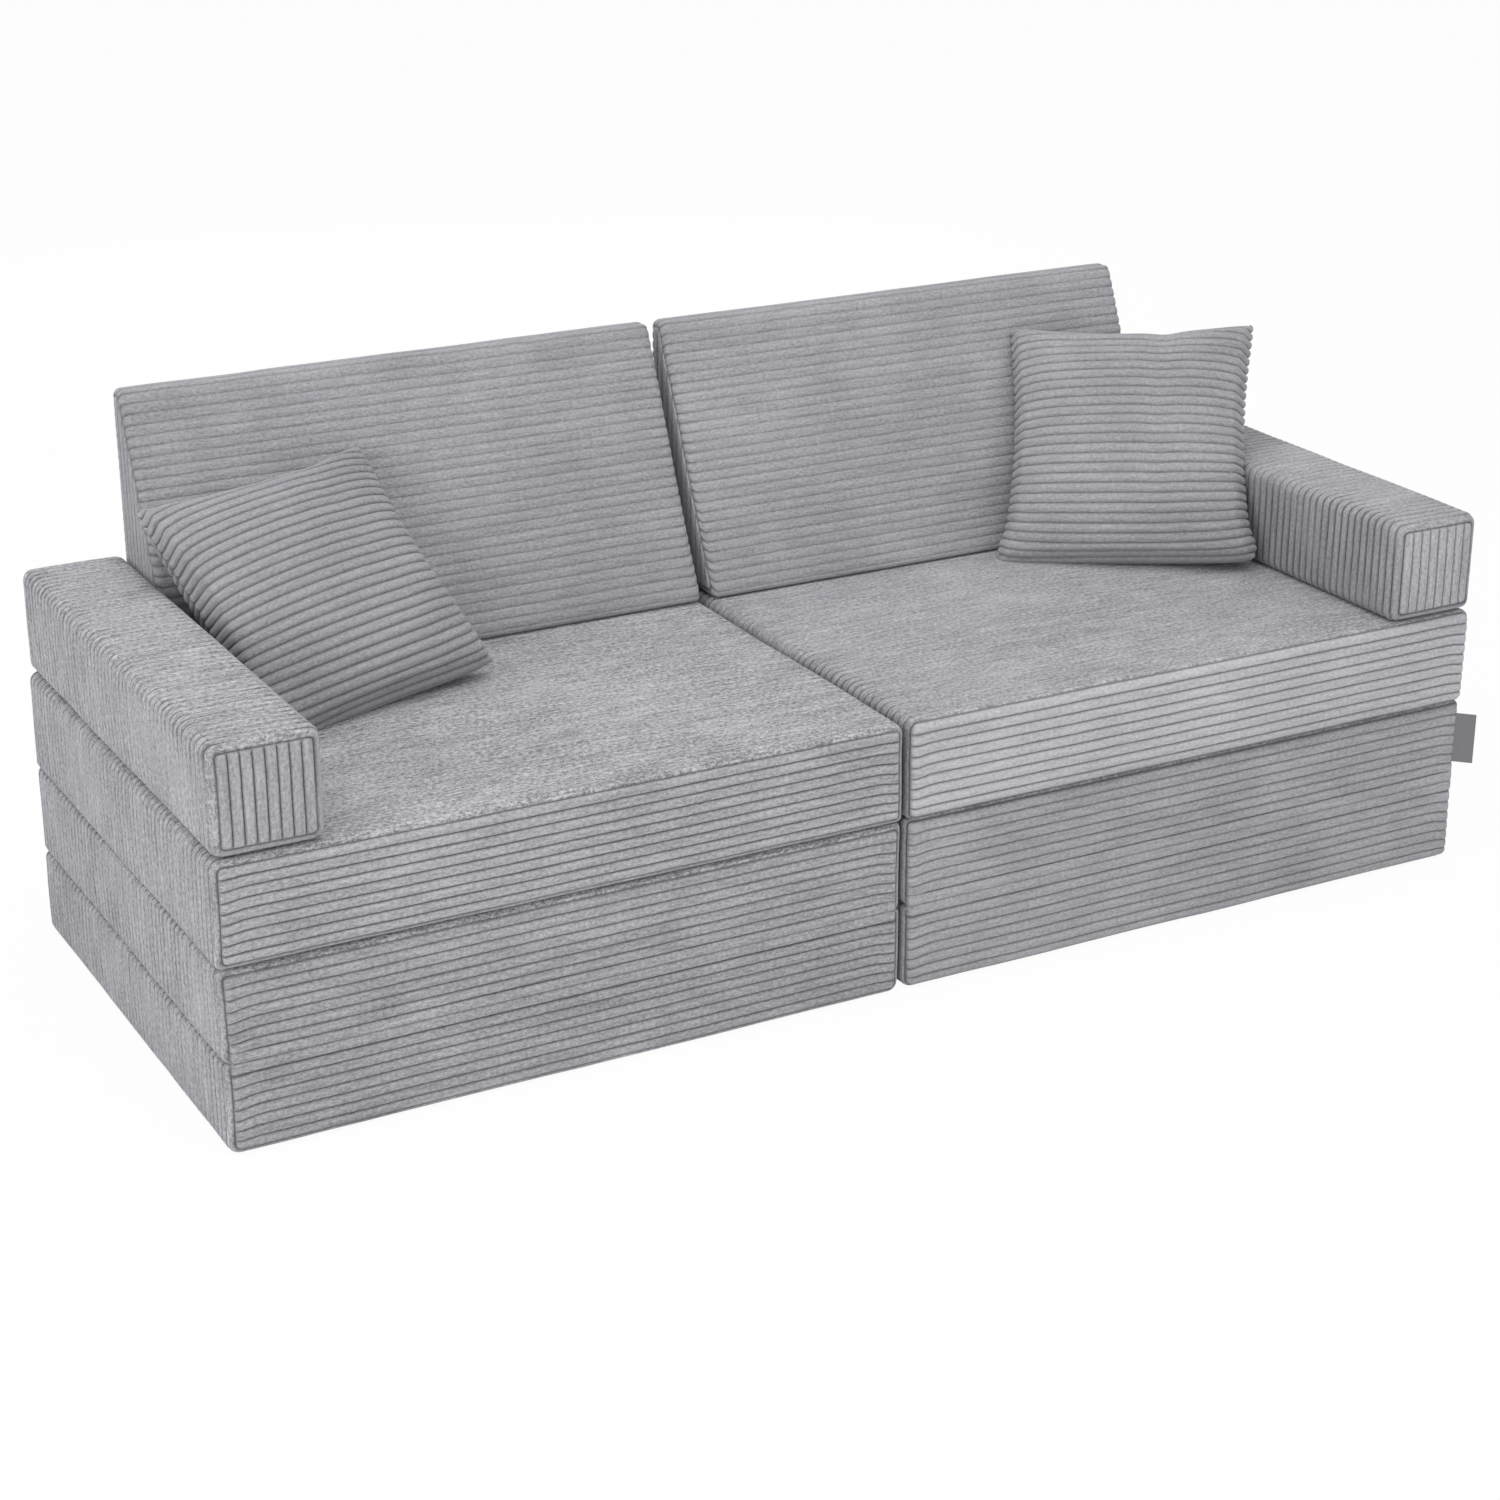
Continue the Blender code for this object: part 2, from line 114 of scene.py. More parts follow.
def smooth(share):
    # 3 s^2 - 2 s^3 of a share held between 0 and 1
    share = np.clip(share, 0, 1)
    return share * share * (3 - 2 * share)


def softNoise(places, seed, size, octaves=2):
    # A smooth field from -1 to 1: four sines to an octave along random directions, size metres from
    # hump to hump, with each octave half as long and 0.55 times as strong as the one before
    draw = np.random.default_rng(seed)
    field = np.zeros(len(places))
    total = 0
    for octave in range(octaves):
        weight = 0.55 ** octave
        for wave in range(4):
            direction = draw.normal(size=3)
            direction *= 2 ** octave * math.pi / size / np.linalg.norm(direction)
            field += weight * np.sin(places @ direction + draw.uniform(0, 2 * math.pi))
        total += weight * 2.2
    return np.clip(field / total, -1, 1)


def ribHeight(phase, power=None):
    # 0 in the groove and 1 on the crown: 1 - |2 phase - 1|^power, a flat rib with a narrow groove
    return 1 - np.abs(2 * (phase % 1) - 1) ** (power or cord["power"])


def ribPlaces(length):
    # Places across the ribs from 0 to length, eight uneven ones to a rib, with phase and rib number
    count = max(1, round(length / cord["pitch"]))
    steps = len(cord["phases"])
    rib = np.append(np.repeat(np.arange(count), steps), count)
    phase = np.append(np.tile(cord["phases"], count), 0.0)
    return (rib + phase) / count * length, phase, rib


def cornerNormals(corners):
    # The outward normal of each edge of a counter-clockwise outline
    along = np.roll(corners, -1, 0) - corners
    along /= np.linalg.norm(along, axis=1, keepdims=True)
    return np.stack((along[:, 1], -along[:, 0]), 1)


def cornerLoop(corners, radii, insets, segment, share):
    # Samples of a rounded convex outline, for many rows at once. Each edge moves inward by its
    # inset, neighbours are intersected, and an arc of the corner's radius joins their ends
    corners = np.asarray(corners, float)
    normal = cornerNormals(corners)
    before = np.roll(normal, 1, 0)
    level = (normal * corners).sum(1) - insets
    levelBefore = np.roll(level, 1, 1)
    cross = before[:, 0] * normal[:, 1] - before[:, 1] * normal[:, 0]
    x = (levelBefore * normal[:, 1] - level * before[:, 1]) / cross
    y = (before[:, 0] * level - normal[:, 0] * levelBefore) / cross
    bend = 1 + (before * normal).sum(1)
    centre = np.stack((x, y), 2) - radii[:, :, None] * ((before + normal) / bend[:, None])
    edge = segment // 2
    following = (edge + 1) % len(corners)
    start = centre[:, edge] + radii[:, edge, None] * normal[edge]
    end = centre[:, following] + radii[:, following, None] * normal[edge]
    straight = start + share[None, :, None] * (end - start)
    turn = np.arctan2(normal[edge, 0] * normal[following, 1] - normal[edge, 1] * normal[following, 0],
                      (normal[edge] * normal[following]).sum(1))
    angle = np.arctan2(normal[edge, 1], normal[edge, 0]) + share * turn
    ray = np.stack((np.cos(angle), np.sin(angle)), 1)
    arc = centre[:, following] + radii[:, following, None] * ray
    isArc = (segment % 2 == 1)
    return (np.where(isArc[None, :, None], arc, straight),
            np.where(isArc[:, None], ray, normal[edge]))


def loopLengths(corners, radii):
    # The length of each straight and each arc of an outline, in order
    count = len(corners)
    segment = np.repeat(np.arange(2 * count), 2)
    share = np.tile((0.0, 1.0), 2 * count)
    points = cornerLoop(corners, np.asarray(radii)[None], np.zeros((1, count)), segment, share)[0][0]
    reach = np.linalg.norm(points[1::2] - points[::2], axis=1)
    corners = np.asarray(corners, float)
    along = np.roll(corners, -1, 0) - corners
    angle = np.arctan2(along[:, 1], along[:, 0])
    turn = (np.roll(angle, -1) - angle) % (2 * math.pi)
    reach[1::2] = turn * np.roll(radii, -1)
    return reach


def loopSamples(corners, radii, spacing, arcSteps, cuts=None):
    # Even samples of each straight, and a few of each arc. cuts adds places, in metres, on a straight
    segments, shares = [], []
    for number, length in enumerate(loopLengths(corners, radii)):
        steps = arcSteps if number % 2 else max(1, math.ceil(length / spacing))
        share = np.arange(steps) / steps
        if cuts and number in cuts:
            share = np.unique(np.append(share, np.asarray(cuts[number]) / length))
        segments.append(np.full(len(share), number))
        shares.append(share)
    return np.concatenate(segments), np.concatenate(shares)


def samplesAt(corners, radii, places):
    # The same for given places along the whole outline
    lengths = loopLengths(corners, radii)
    starts = np.append(0, np.cumsum(lengths))
    segment = np.clip(np.searchsorted(starts, places, "right") - 1, 0, len(lengths) - 1)
    return segment, (places - starts[segment]) / lengths[segment]


def wrapPath(length, rounding, seamAngle):
    # The length of the wrap's arc from the seam at each end, and of its whole path
    arc = rounding * (math.pi / 2 - seamAngle)
    return arc, 2 * arc + length - 2 * rounding


def endPath(length, rounding, seamAngle, places):
    # The path of the wrap from seam to seam: part of a quarter circle, straight, and the like part
    # of the quarter circle at the other end. The seam's angle is 0 on the end face and a quarter
    # turn on the wrap. Gives inset, place along the axis and normal
    arc, total = wrapPath(length, rounding, seamAngle)
    fromEnd = np.minimum(places, total - places)
    second = places > total / 2
    angle = np.clip(seamAngle + fromEnd / rounding, 0, math.pi / 2)
    inset = rounding * (1 - np.sin(angle))
    axial = np.where(fromEnd > arc, rounding + fromEnd - arc, rounding * (1 - np.cos(angle)))
    outward, forward = np.sin(angle), -np.cos(angle)
    return (inset, np.where(second, length - axial, axial), outward,
            np.where(second, -forward, forward), fromEnd, second)


def seamPlace(rounding, seamAngle):
    # How far the sewn edge of an end face lies inside the block's outline
    return rounding * (1 - math.sin(seamAngle)) + cord["seamWidth"]


def capGrid(outline, across, places):
    # A grid over a convex outline, one row at each place across it, from its near to its far side
    near, far = outline[:, across].min(), outline[:, across].max()
    isNear = np.abs(outline[:, across] - near) < 1e-7
    first = np.flatnonzero(isNear & ~np.roll(isNear, -1))[0]
    outline = np.roll(outline, -first, 0)
    last = np.flatnonzero(np.abs(outline[:, across] - far) < 1e-7)[0]
    rising, falling = outline[:last + 1], np.append(outline[last:], outline[:1], 0)
    level = np.clip(near + places, near + 4e-5, far - 4e-5)
    one = np.interp(level, rising[:, across], rising[:, 1 - across])
    two = np.interp(level, falling[::-1, across], falling[::-1, 1 - across])
    return first, level, one, two


def zipper(loopA, loopB, pointsA, pointsB):
    # Triangles between two closed loops that start side by side, merged by their share of length
    def shares(points):
        # How far round the loop each step ends
        steps = np.linalg.norm(np.roll(points, -1, 0) - points, axis=1)
        return np.cumsum(steps) / steps.sum()
    endA, endB = shares(pointsA), shares(pointsB)
    endA[-1] = endB[-1] = 1.0
    nowB = np.searchsorted(endB, endA, "left") % len(loopB)
    nowB[-1] = min(nowB[-1], len(loopB) - 1)
    nextA, nextB = np.roll(loopA, -1), np.roll(loopB, -1)
    partA = np.stack((loopA, nextA, loopB[nowB]), 1)
    nowA = np.searchsorted(endA, endB, "right") % len(loopA)
    partB = np.stack((loopB, nextB, loopA[nowA]), 1)
    return np.concatenate((partA, partB))


def buildMesh(name, points, quads, triangles, values, mirrored):
    # A closed mesh with point attributes, its faces turned outward
    mesh = bpy.data.meshes.new(name)
    points = np.array(points, float)
    if mirrored:
        points[:, 0] *= -1
    mesh.from_pydata(points.tolist(), [], quads.tolist() + triangles.tolist())
    for key, value in values.items():
        flat = value.ndim == 1
        attribute = mesh.attributes.new(key, "FLOAT" if flat else "FLOAT_VECTOR", "POINT")
        attribute.data.foreach_set("value" if flat else "vector", value.astype(np.float32).ravel())
    form = bmesh.new()
    form.from_mesh(mesh)
    bmesh.ops.recalc_face_normals(form, faces=form.faces)
    form.to_mesh(mesh)
    form.free()
    mesh.shade_smooth()
    piece = bpy.data.objects.new(name, mesh)
    scene.collection.objects.link(piece)
    return piece


def gridQuads(rows, columns, offset=0, closed=False):
    # Quads of a grid numbered row by row. A closed one joins its last column to its first
    steps = columns if closed else columns - 1
    row, column = np.meshgrid(np.arange(rows - 1), np.arange(steps), indexing="ij")
    a, b = row * columns + column, row * columns + (column + 1) % columns
    return np.stack((a, b, b + columns, a + columns), 2).reshape(-1, 4) + offset


def gridRing(rows, columns, offset=0):
    # The points of a grid's border in order, from its first point along the first column
    index = offset + np.arange(rows * columns).reshape(rows, columns)
    return np.concatenate((index[:-1, 0], index[-1, :-1], index[:0:-1, -1], index[0, :0:-1]))


def ribbedBlock(name, spec, mirrored):
    # A foam block in corduroy. A wrap carries the outline along the axis and turns over both ends to a
    # sewn seam, and a ribbed cap closes each end. ribs is 'round' where they run round the outline, or
    # 'along' where they run along the axis. relief is how deep the grooves are on each face of the wrap
    # and shade how dark they are painted as painted shade, from 0 to 1, and cap gives both for the two end
    # faces, with how far the ribs sag there. A tone for each face, on the wrap's faces and on the end faces,
    # makes it paler or darker, partly as nap and partly as painted light and shade, and crush makes it more
    # speckled. seamAlong is how dark the seams' painted shade is beside the last ribs. Last it all swells
    corners, radii = np.asarray(spec["corners"], float), np.asarray(spec["radii"], float)
    count = len(corners)
    length, rounding, seamAngle = spec["length"], spec["rounding"], spec["seamAngle"]
    power, hinges = spec.get("power", cord["power"]), spec.get("hinges", ())
    isRound = spec["ribs"] == "round"
    arc, total = wrapPath(length, rounding, seamAngle)
    lengths = loopLengths(corners, radii)
    if isRound:
        rows, rowPhase, rowRib = ribPlaces(total)
        segment, share = loopSamples(corners, radii, spec["spacing"], spec["arcSteps"], spec.get("cuts"))
        reach = cord["seamReach"]
    else:
        past, apart = cord["endRows"]
        ends = np.concatenate((np.linspace(0, cord["seamEnd"], 5)[:-1],
                               np.linspace(cord["seamEnd"], arc + past, 5)))
        middle = np.linspace(ends[-1] + apart, total / 2, max(2, round(total / 2 / spec["spacing"])))
        half = np.concatenate((ends, middle))
        rows = np.concatenate((half, (total - half[:-1])[::-1]))
        # Rows on both sides of each end of a zip's channel, so that its walls are upright
        walls = [limit - rounding + arc + change for cut in spec["channels"] for limit in cut["limits"][1]
                 for change in (-cord["channelStep"], cord["channelStep"])]
        rows = np.unique(np.append(rows, walls))
        around, loopPhase, loopRib = ribPlaces(lengths.sum())
        segment, share = samplesAt(corners, radii, around[:-1])
        reach = cord["seamEnd"]
    inset, axial, outward, forward, fromEnd, second = endPath(length, rounding, seamAngle, rows)
    keep = np.ones((2, count))
    for end, edge in hinges:
        keep[end, edge] = cord["hingeInset"]
    insets = inset[:, None] * keep[second.astype(int)]
    loopRadii = np.maximum(radii - inset[:, None], cord["seamRadius"])
    loops, normal = cornerLoop(corners, loopRadii, insets, segment, share)
    outer = cornerNormals(corners)

    turned = np.where(segment % 2 == 1, share, 0)
    fade = np.where(segment % 2 == 1, 0, lengths[segment] * np.minimum(share, 1 - share))

    def byFace(amounts):
        # One amount for each face, passing from face to face over the rounded edges
        amounts = np.asarray(amounts, float)
        return amounts[segment // 2] * (1 - turned) + amounts[(segment // 2 + 1) % count] * turned
    relief, shade = byFace(spec["relief"]), byFace(spec["shade"])
    # Where ribs turn over a rounded edge they stand out like rope, and their grooves are painted darker as
    # painted shade
    proud = np.exp(-(fade[None] if isRound else fromEnd[:, None]) / cord["edgeReach"])
    relief = relief + (1 - relief) * proud
    shade = shade + (1 - shade) * proud * cord["edgeShade"][spec["ribs"]]
    if isRound:
        places = np.concatenate((loops, axial[:, None, None] + 0 * loops[:, :, :1]), 2).reshape(-1, 3)
        wavy = softNoise(places, spec["seed"] + 11, cord["unevenSize"], 3).reshape(len(rows), -1)
        relief, shade = (np.clip(one * (1 + cord["uneven"] * wavy), 0, 1) for one in (relief, shade))
        crown = np.repeat(ribHeight(rowPhase, power)[:, None], len(segment), 1)
        tone = np.repeat(rowRib[:, None] * 1.0, len(segment), 1)
    else:
        crown = np.repeat(ribHeight(loopPhase[:-1], power)[None], len(rows), 0)
        tone = np.repeat(loopRib[None, :-1] * 1.0, len(rows), 0)
    # Beside a hinge the wrap runs straight to the end face, under the strip of cloth there
    onHinge = np.zeros((2, len(segment)))
    for end, edge in hinges:
        onHinge[end] = np.maximum(onHinge[end], np.clip(normal @ outer[edge], 0, 1) ** 2)
    onHinge = onHinge[second.astype(int)] * (fromEnd < arc)[:, None]
    straight = rounding * fromEnd / arc
    straight = np.where(second, length - straight, straight)
    axial = axial[:, None] * (1 - onHinge) + straight[:, None] * onHinge
    drawn = 1 - smooth(fromEnd / reach)[:, None]
    faint = np.ones(count)
    faint[[spec["nearEdge"], spec["farEdge"]]] = spec["seamAlong"]
    faint = byFace(faint)
    push = -cord["depth"] * (1 - crown) * relief * (1 - drawn) - cord["seamDepth"] * drawn
    for cut in spec["channels"]:
        if cut["on"] == "wrap":
            inside = (segment == 2 * cut["edge"])[None] & channelShare(loops, axial, cut)
            push = np.where(inside, -cut["depth"], push)
    plane = loops + push[:, :, None] * outward[:, None, None] * normal[None]
    points = [spec["place"](plane[:, :, 0], plane[:, :, 1], axial + push * forward[:, None])]
    around = np.append(0, np.cumsum(lengths))[segment] + share * lengths[segment]
    cloth = [np.broadcast_arrays(around[None], rows[:, None], 0.0)]
    if not isRound:
        cloth = [(cloth[0][1], cloth[0][0], cloth[0][2])]
    # Painted shade: the grooves, and the seam's crease at each end, are painted darker
    seamDark = cord["seamShade"] * (1 - cord["seamBreak"] * crown) * (drawn * faint) ** 2
    values = {"unshadedShare": [(1 - (1 - crown) * shade) * (1 - seamDark)], "toneLevel": [tone],
              "napAndPaintedLight": [np.repeat(byFace(spec["napAndPaintedLight"][0])[None], len(rows), 0)],
              "crush": [np.repeat(byFace(spec["crush"][0])[None], len(rows), 0)]}
    quads = [gridQuads(len(rows), len(segment), 0, True)]
    triangles = []
    offset = len(rows) * len(segment)

    across = spec["across"]
    seamInset = seamPlace(rounding, seamAngle)
    for end in (0, 1):
        capRelief, capShade, droop = spec["cap"][end]
        outline = cornerLoop(corners, np.maximum(radii - seamInset, cord["seamRadius"])[None],
                             np.full((1, count), seamInset) * keep[end], segment, share)[0][0]
        span = outline[:, across].max() - outline[:, across].min()
        places, phase, rib = ribPlaces(span)
        first, level, one, two = capGrid(outline, across, places)
        width = abs(two - one).max()
        shares = capShares(max(6, round(width / spec["spacing"])), width)
        grid = one[:, None] + (two - one)[:, None] * shares[None]
        levels = level[:, None] + 0 * grid
        flat = np.stack((grid, levels) if across else (levels, grid), 2)
        rise = np.repeat(ribHeight(phase)[:, None], len(shares), 1)
        # Near its edges the cap bends back with the rounding: how far each point is inside each edge
        within = np.stack([((corners[edge] - flat) @ outer[edge]) for edge in range(count)], 2)
        hinged = [edge for hingeEnd, edge in hinges if hingeEnd == end]
        short = np.clip(rounding - within, 0, None)
        short[:, :, hinged] = 0
        lean = np.minimum(np.sqrt((short ** 2).sum(2)), rounding - seamInset)
        base = rounding - np.sqrt(rounding ** 2 - lean ** 2)
        tilt = (short[:, :, :, None] * outer).sum(2)
        tilt *= (lean / rounding / (np.linalg.norm(tilt, axis=2) + 1e-9))[:, :, None]
        ends = np.minimum(np.abs(grid - one[:, None]), np.abs(two[:, None] - grid))
        near, far = levels - level[0], level[-1] - levels
        drawn = 1 - smooth(ends / cord["seamEnd"])
        beneath, dark = 0 * drawn, drawn
        for edge, reach, along in zip(("nearEdge", "farEdge"), (near, far), spec["seamAlong"]):
            if spec[edge] not in hinged:
                seam = 1 - smooth(reach / cord["seamReach"])
                beneath, dark = np.maximum(beneath, seam), np.maximum(dark, seam * along)
        drawn, dark = np.maximum(drawn, beneath), dark ** 2
        push = -cord["depth"] * (1 - rise) * capRelief * (1 - drawn) - cord["seamDepth"] * drawn
        if hinged:
            # The last rib beside a hinge is the hinge strip's, so the cover steps back under it
            ribWidth = span / round(span / cord["pitch"])
            beside = near if spec["nearEdge"] in hinged else far
            under = smooth((ribWidth - beside) / cord["hingeStep"][0] + cord["hingeStep"][1])
            push = push * (1 - under) + np.minimum(push, -spec["stripDepth"]) * under
        for cut in spec["channels"]:
            if cut["on"] == end:
                push = np.where(channelShare(flat, None, cut), -cut["depth"], push)
        # The pull of the seam draws the ends of the ribs downward
        sag = droop * (1 - smooth(ends / cord["seamSag"])) * 4 * near * far / (near + far) ** 2
        bent = flat + push[:, :, None] * tilt
        bent[:, :, across] -= sag
        axis = base - push * np.sqrt(1 - (lean / rounding) ** 2)
        points.append(spec["place"](bent[:, :, 0], bent[:, :, 1], axis if end == 0 else length - axis))
        # Each end face is cut from another place in the cloth, so its ribs have tones of their own
        cloth.append(np.broadcast_arrays(grid, levels, 3.0 + 2 * end))
        # Painted shade: the end face's grooves, and its seams beside the last ribs, are painted darker
        seamDark = cord["seamShade"] * (1 - cord["seamBreak"] * rise) * dark
        values["unshadedShare"].append((1 - (1 - rise) * capShade * (1 - dark)) * (1 - seamDark))
        values["toneLevel"].append(np.repeat((rib * 1.0 + 91 * (end + 1))[:, None], len(shares), 1))
        values["napAndPaintedLight"].append(np.full_like(grid, spec["napAndPaintedLight"][1][end]))
        values["crush"].append(np.full_like(grid, spec["crush"][1][end]))
        quads.append(gridQuads(len(level), len(shares), offset))
        ring = gridRing(len(level), len(shares), offset)
        row = 0 if end == 0 else len(rows) - 1
        wrap = np.roll(row * len(segment) + np.arange(len(segment)), -first)
        border = flat.reshape(-1, 2)[ring - offset]
        triangles.append(zipper(wrap, ring, np.roll(loops[row], -first, 0), border))
        offset += grid.size

    points = np.concatenate([part.reshape(-1, 3) for part in points])
    values = {key: np.concatenate([part.ravel() for part in parts]) for key, parts in values.items()}
    ribTone = np.random.default_rng(spec["seed"]).uniform(-1, 1, 400)
    # Rib tones, plus each face's tone: partly nap, partly painted light and shade
    values["toneLevel"] = cord["tone"] * ribTone[values["toneLevel"].astype(int) % 400] + values.pop("napAndPaintedLight")
    values["clothPlace"] = np.concatenate([np.stack(part, 2).reshape(-1, 3) for part in cloth])
    points = spec["swell"](points)
    return buildMesh(name, points, np.concatenate(quads), np.concatenate(triangles), values, mirrored)


def capShares(steps, length):
    # Even shares from 0 to 1, with a few more within the rounding at both ends
    close = np.array((0, 0.0008, 0.0018, 0.003, 0.0048, 0.0075, 0.0115)) / length
    even = np.linspace(close[-1], 1 - close[-1], steps)
    return np.concatenate((close[:-1], even, 1 - close[-2::-1]))


def channelShare(plane, axial, cut):
    # True inside a zip's channel, given as limits in the face's own two directions
    (low1, high1), (low2, high2) = cut["limits"]
    one, two = plane[:, :, 0], (plane[:, :, 1] if axial is None else axial)
    return (one > low1) & (one < high1) & (two > low2) & (two < high2)


def smoothEnds(steps):
    # Shares from 0 to 1: even ones, moved 38% of the way to a cosine's, which are closer at the ends
    even = np.linspace(0, 1, steps + 1)
    close = 0.5 - 0.5 * np.cos(math.pi * even)
    return 0.62 * even + 0.38 * close


def swellBox(points, low, high, crowns, seed, settings, dome=None):
    # Swells a block as foam does: each face rises by its crown times (1 - a^2)(1 - b^2), a and b
    # running from -1 to 1 over the face, and soft noise moves the cloth by up to the piece's wander.
    # A dome rises in the same way over a part of the top
    low, high = np.asarray(low), np.asarray(high)
    u, v, w = (np.clip((2 * points - low - high) / (high - low), -1, 1)).T
    overX, overY, overZ = (1 - v * v) * (1 - w * w), (1 - u * u) * (1 - w * w), (1 - u * u) * (1 - v * v)
    moved = points.copy()
    moved[:, 0] += overX * (crowns["outer"] * (1 + u) - crowns.get("inner", 0) * (1 - u)) / 2
    moved[:, 1] -= overY * (crowns["front"] * (1 - v)) / 2
    moved[:, 2] += overZ * (crowns.get("top", 0) * (1 + w)) / 2
    if dome is not None:
        across, along = ((2 * points[:, axis] - dome["low"][axis] - dome["high"][axis])
                         / (dome["high"][axis] - dome["low"][axis]) for axis in (0, 1))
        share = np.clip(1 - across * across, 0, 1) * np.clip(1 - along * along, 0, 1)
        ripple = dome["ripple"] * softNoise(points, seed + 7, dome["rippleSize"])
        moved[:, 2] += share * (dome["height"] + ripple) * (1 + w) / 2
    # The inner face of an armrest is kept from wandering
    free = (smooth((1 + u) / 0.5) if crowns.get("stillInner") else 1, 1, 1)
    for axis in range(3):
        noise = softNoise(points, seed + axis, settings["wanderSize"], 3)
        moved[:, axis] += settings["wander"][axis] * noise * free[axis]
    return moved


def outwardBox(node):
    # Where a CAD solid stands, as its lowest and highest corners, with X outward
    low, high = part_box(node)
    if low.x < 0:
        return np.array((-high.x, low.y, low.z)), np.array((-low.x, high.y, high.z))
    return np.array(low), np.array(high)


def ownSettings(settings, side):
    # A piece's settings, with the side's own where the two modules differ
    return {key: value[side] if isinstance(value, dict) and side in value else value
            for key, value in settings.items()}


# Zips: how much wider than its chain a channel is on each side, and how deep
zipChannels = {"room": 0.0010, "depth": 0.0053}


def zipChannel(node, faceAxes, on, edge=None):
    # The channel over a zip, a little wider than its chain, in the two directions of its face
    low, high = outwardBox(node)
    room = zipChannels["room"]
    return {"on": on, "edge": edge, "depth": zipChannels["depth"],
            "limits": [(low[axis] - room, high[axis] + room) for axis in faceAxes]}


def finishCushion(piece, node):
    # A cushion rides on its CAD body in the place of the plain cover
    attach(piece, node)
    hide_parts(node + "_cover")
    return piece


# Panels: the two base panels and the seat of each module. relief, shade (the painted shade of the grooves),
# the face tones (partly nap, partly painted light and shade) and crush go round from the bottom: bottom,
# outer, top, inner, and seamAlong is for the painted shade of the seams at the bottom and top
panel = {"width": 0.745, "rounding": 0.0120, "cornerRadius": 0.0120, "hingeRadius": 0.0070,
         "seamAngle": {"left": math.radians(34), "right": math.radians(60)}, "stripDepth": 0.0028,
         "spacing": 0.0110, "arcSteps": 5, "contact": 0.0003, "proud": 0.0020,
         "crown": 0.0010, "frontCrown": 0.0020, "wander": (0.0009, 0.0009, 0.00025), "wanderSize": 0.11,
         "relief": (0.5, 0.62, 0.45, 0.8), "shade": (0.5, 0.42, 0.18, 0.7),
         "cap": {"left": {"base": ((1.0, 0.82, 0.0036), (1.0, 0.6, 0.002)),
                          "seat": ((1.0, 0.92, 0.0034), (1.0, 0.6, 0.002))},
                 "right": {"base": ((1.0, 0.68, 0.0036), (1.0, 0.6, 0.002)),
                           "seat": ((1.0, 0.80, 0.0034), (1.0, 0.6, 0.002))}},
         # Painted light: the seat fronts are painted paler, partly as painted light, and the right seat's
         # inner face is painted darker as painted shade of the narrow gap between the modules
         "napAndPaintedLight": {"base": {"left": ((0, 0, 0, 0), (0, 0)), "right": ((0, 0, 0, 0), (0, 0))},
                 "seat": {"left": ((0, 0, 0, 0), (0.10, 0)), "right": ((0, 0, -0.02, -0.18), (0.30, 0))}},
         "crush": {"left": ((0.6, 1.0, 1.5, 0.6), (0.68, 0.5)), "right": ((0.6, 1.0, 1.15, 0.6), (0.5, 0.4))},
         "seamAlong": {"base": (0.7, 0.7), "seat": (0.7, 0.25)}}

# The seat's dome: its height, how uneven it is, and where it starts at the front and ends at the rear
seatDome = {"height": 0.006, "ripple": 0.0014, "rippleSize": 0.16, "front": -0.295, "rear": 0.1408}


def makePanel(side, name, seed, hinges, dome=None, frontCrown=0.0):
    # A block whose ribs run round it in X and Z. The outline's edges are bottom, outer, top and inner
    node = f"{side}_{name}"
    kind = "seat" if dome else "base"
    low, high = outwardBox(node + "_cover")
    x0, x1 = low[0] - panel["proud"], low[0] + panel["width"] + panel["proud"]
    y0, y1 = low[1] + frontCrown, high[1]
    z0, z1 = low[2] + panel["contact"], high[2] - (dome["height"] if dome else 0) - panel["contact"]
    edges = {"bottom": 0, "top": 2}
    below, above = (panel["hingeRadius" if edge in hinges else "cornerRadius"] for edge in edges)
    spec = {**ownSettings(panel, side), "ribs": "round", "across": 1, "nearEdge": 0, "farEdge": 2,
            "seed": seed, "length": y1 - y0, "hinges": [(end, edges[edge]) for edge, end in hinges.items()],
            "corners": ((x0, z0), (x1, z0), (x1, z1), (x0, z1)), "radii": [below, below, above, above],
            "cap": panel["cap"][side][kind], "napAndPaintedLight": panel["napAndPaintedLight"][kind][side],
            "seamAlong": panel["seamAlong"][kind], "channels": [zipChannel(node + "_zip", (0, 2), 1)],
            "place": lambda a, b, c: np.stack((a, y0 + c, b), 2)}
    crowns = {"inner": panel["crown"], "outer": panel["crown"], "front": frontCrown}
    spec["swell"] = lambda points: swellBox(points, (x0, y0, z0), (x1, y1, z1), crowns, seed, panel, dome)
    piece = ribbedBlock(f"{side}{name.title().replace('_', '')}Cushion", spec, side == "left")
    return finishCushion(piece, node)


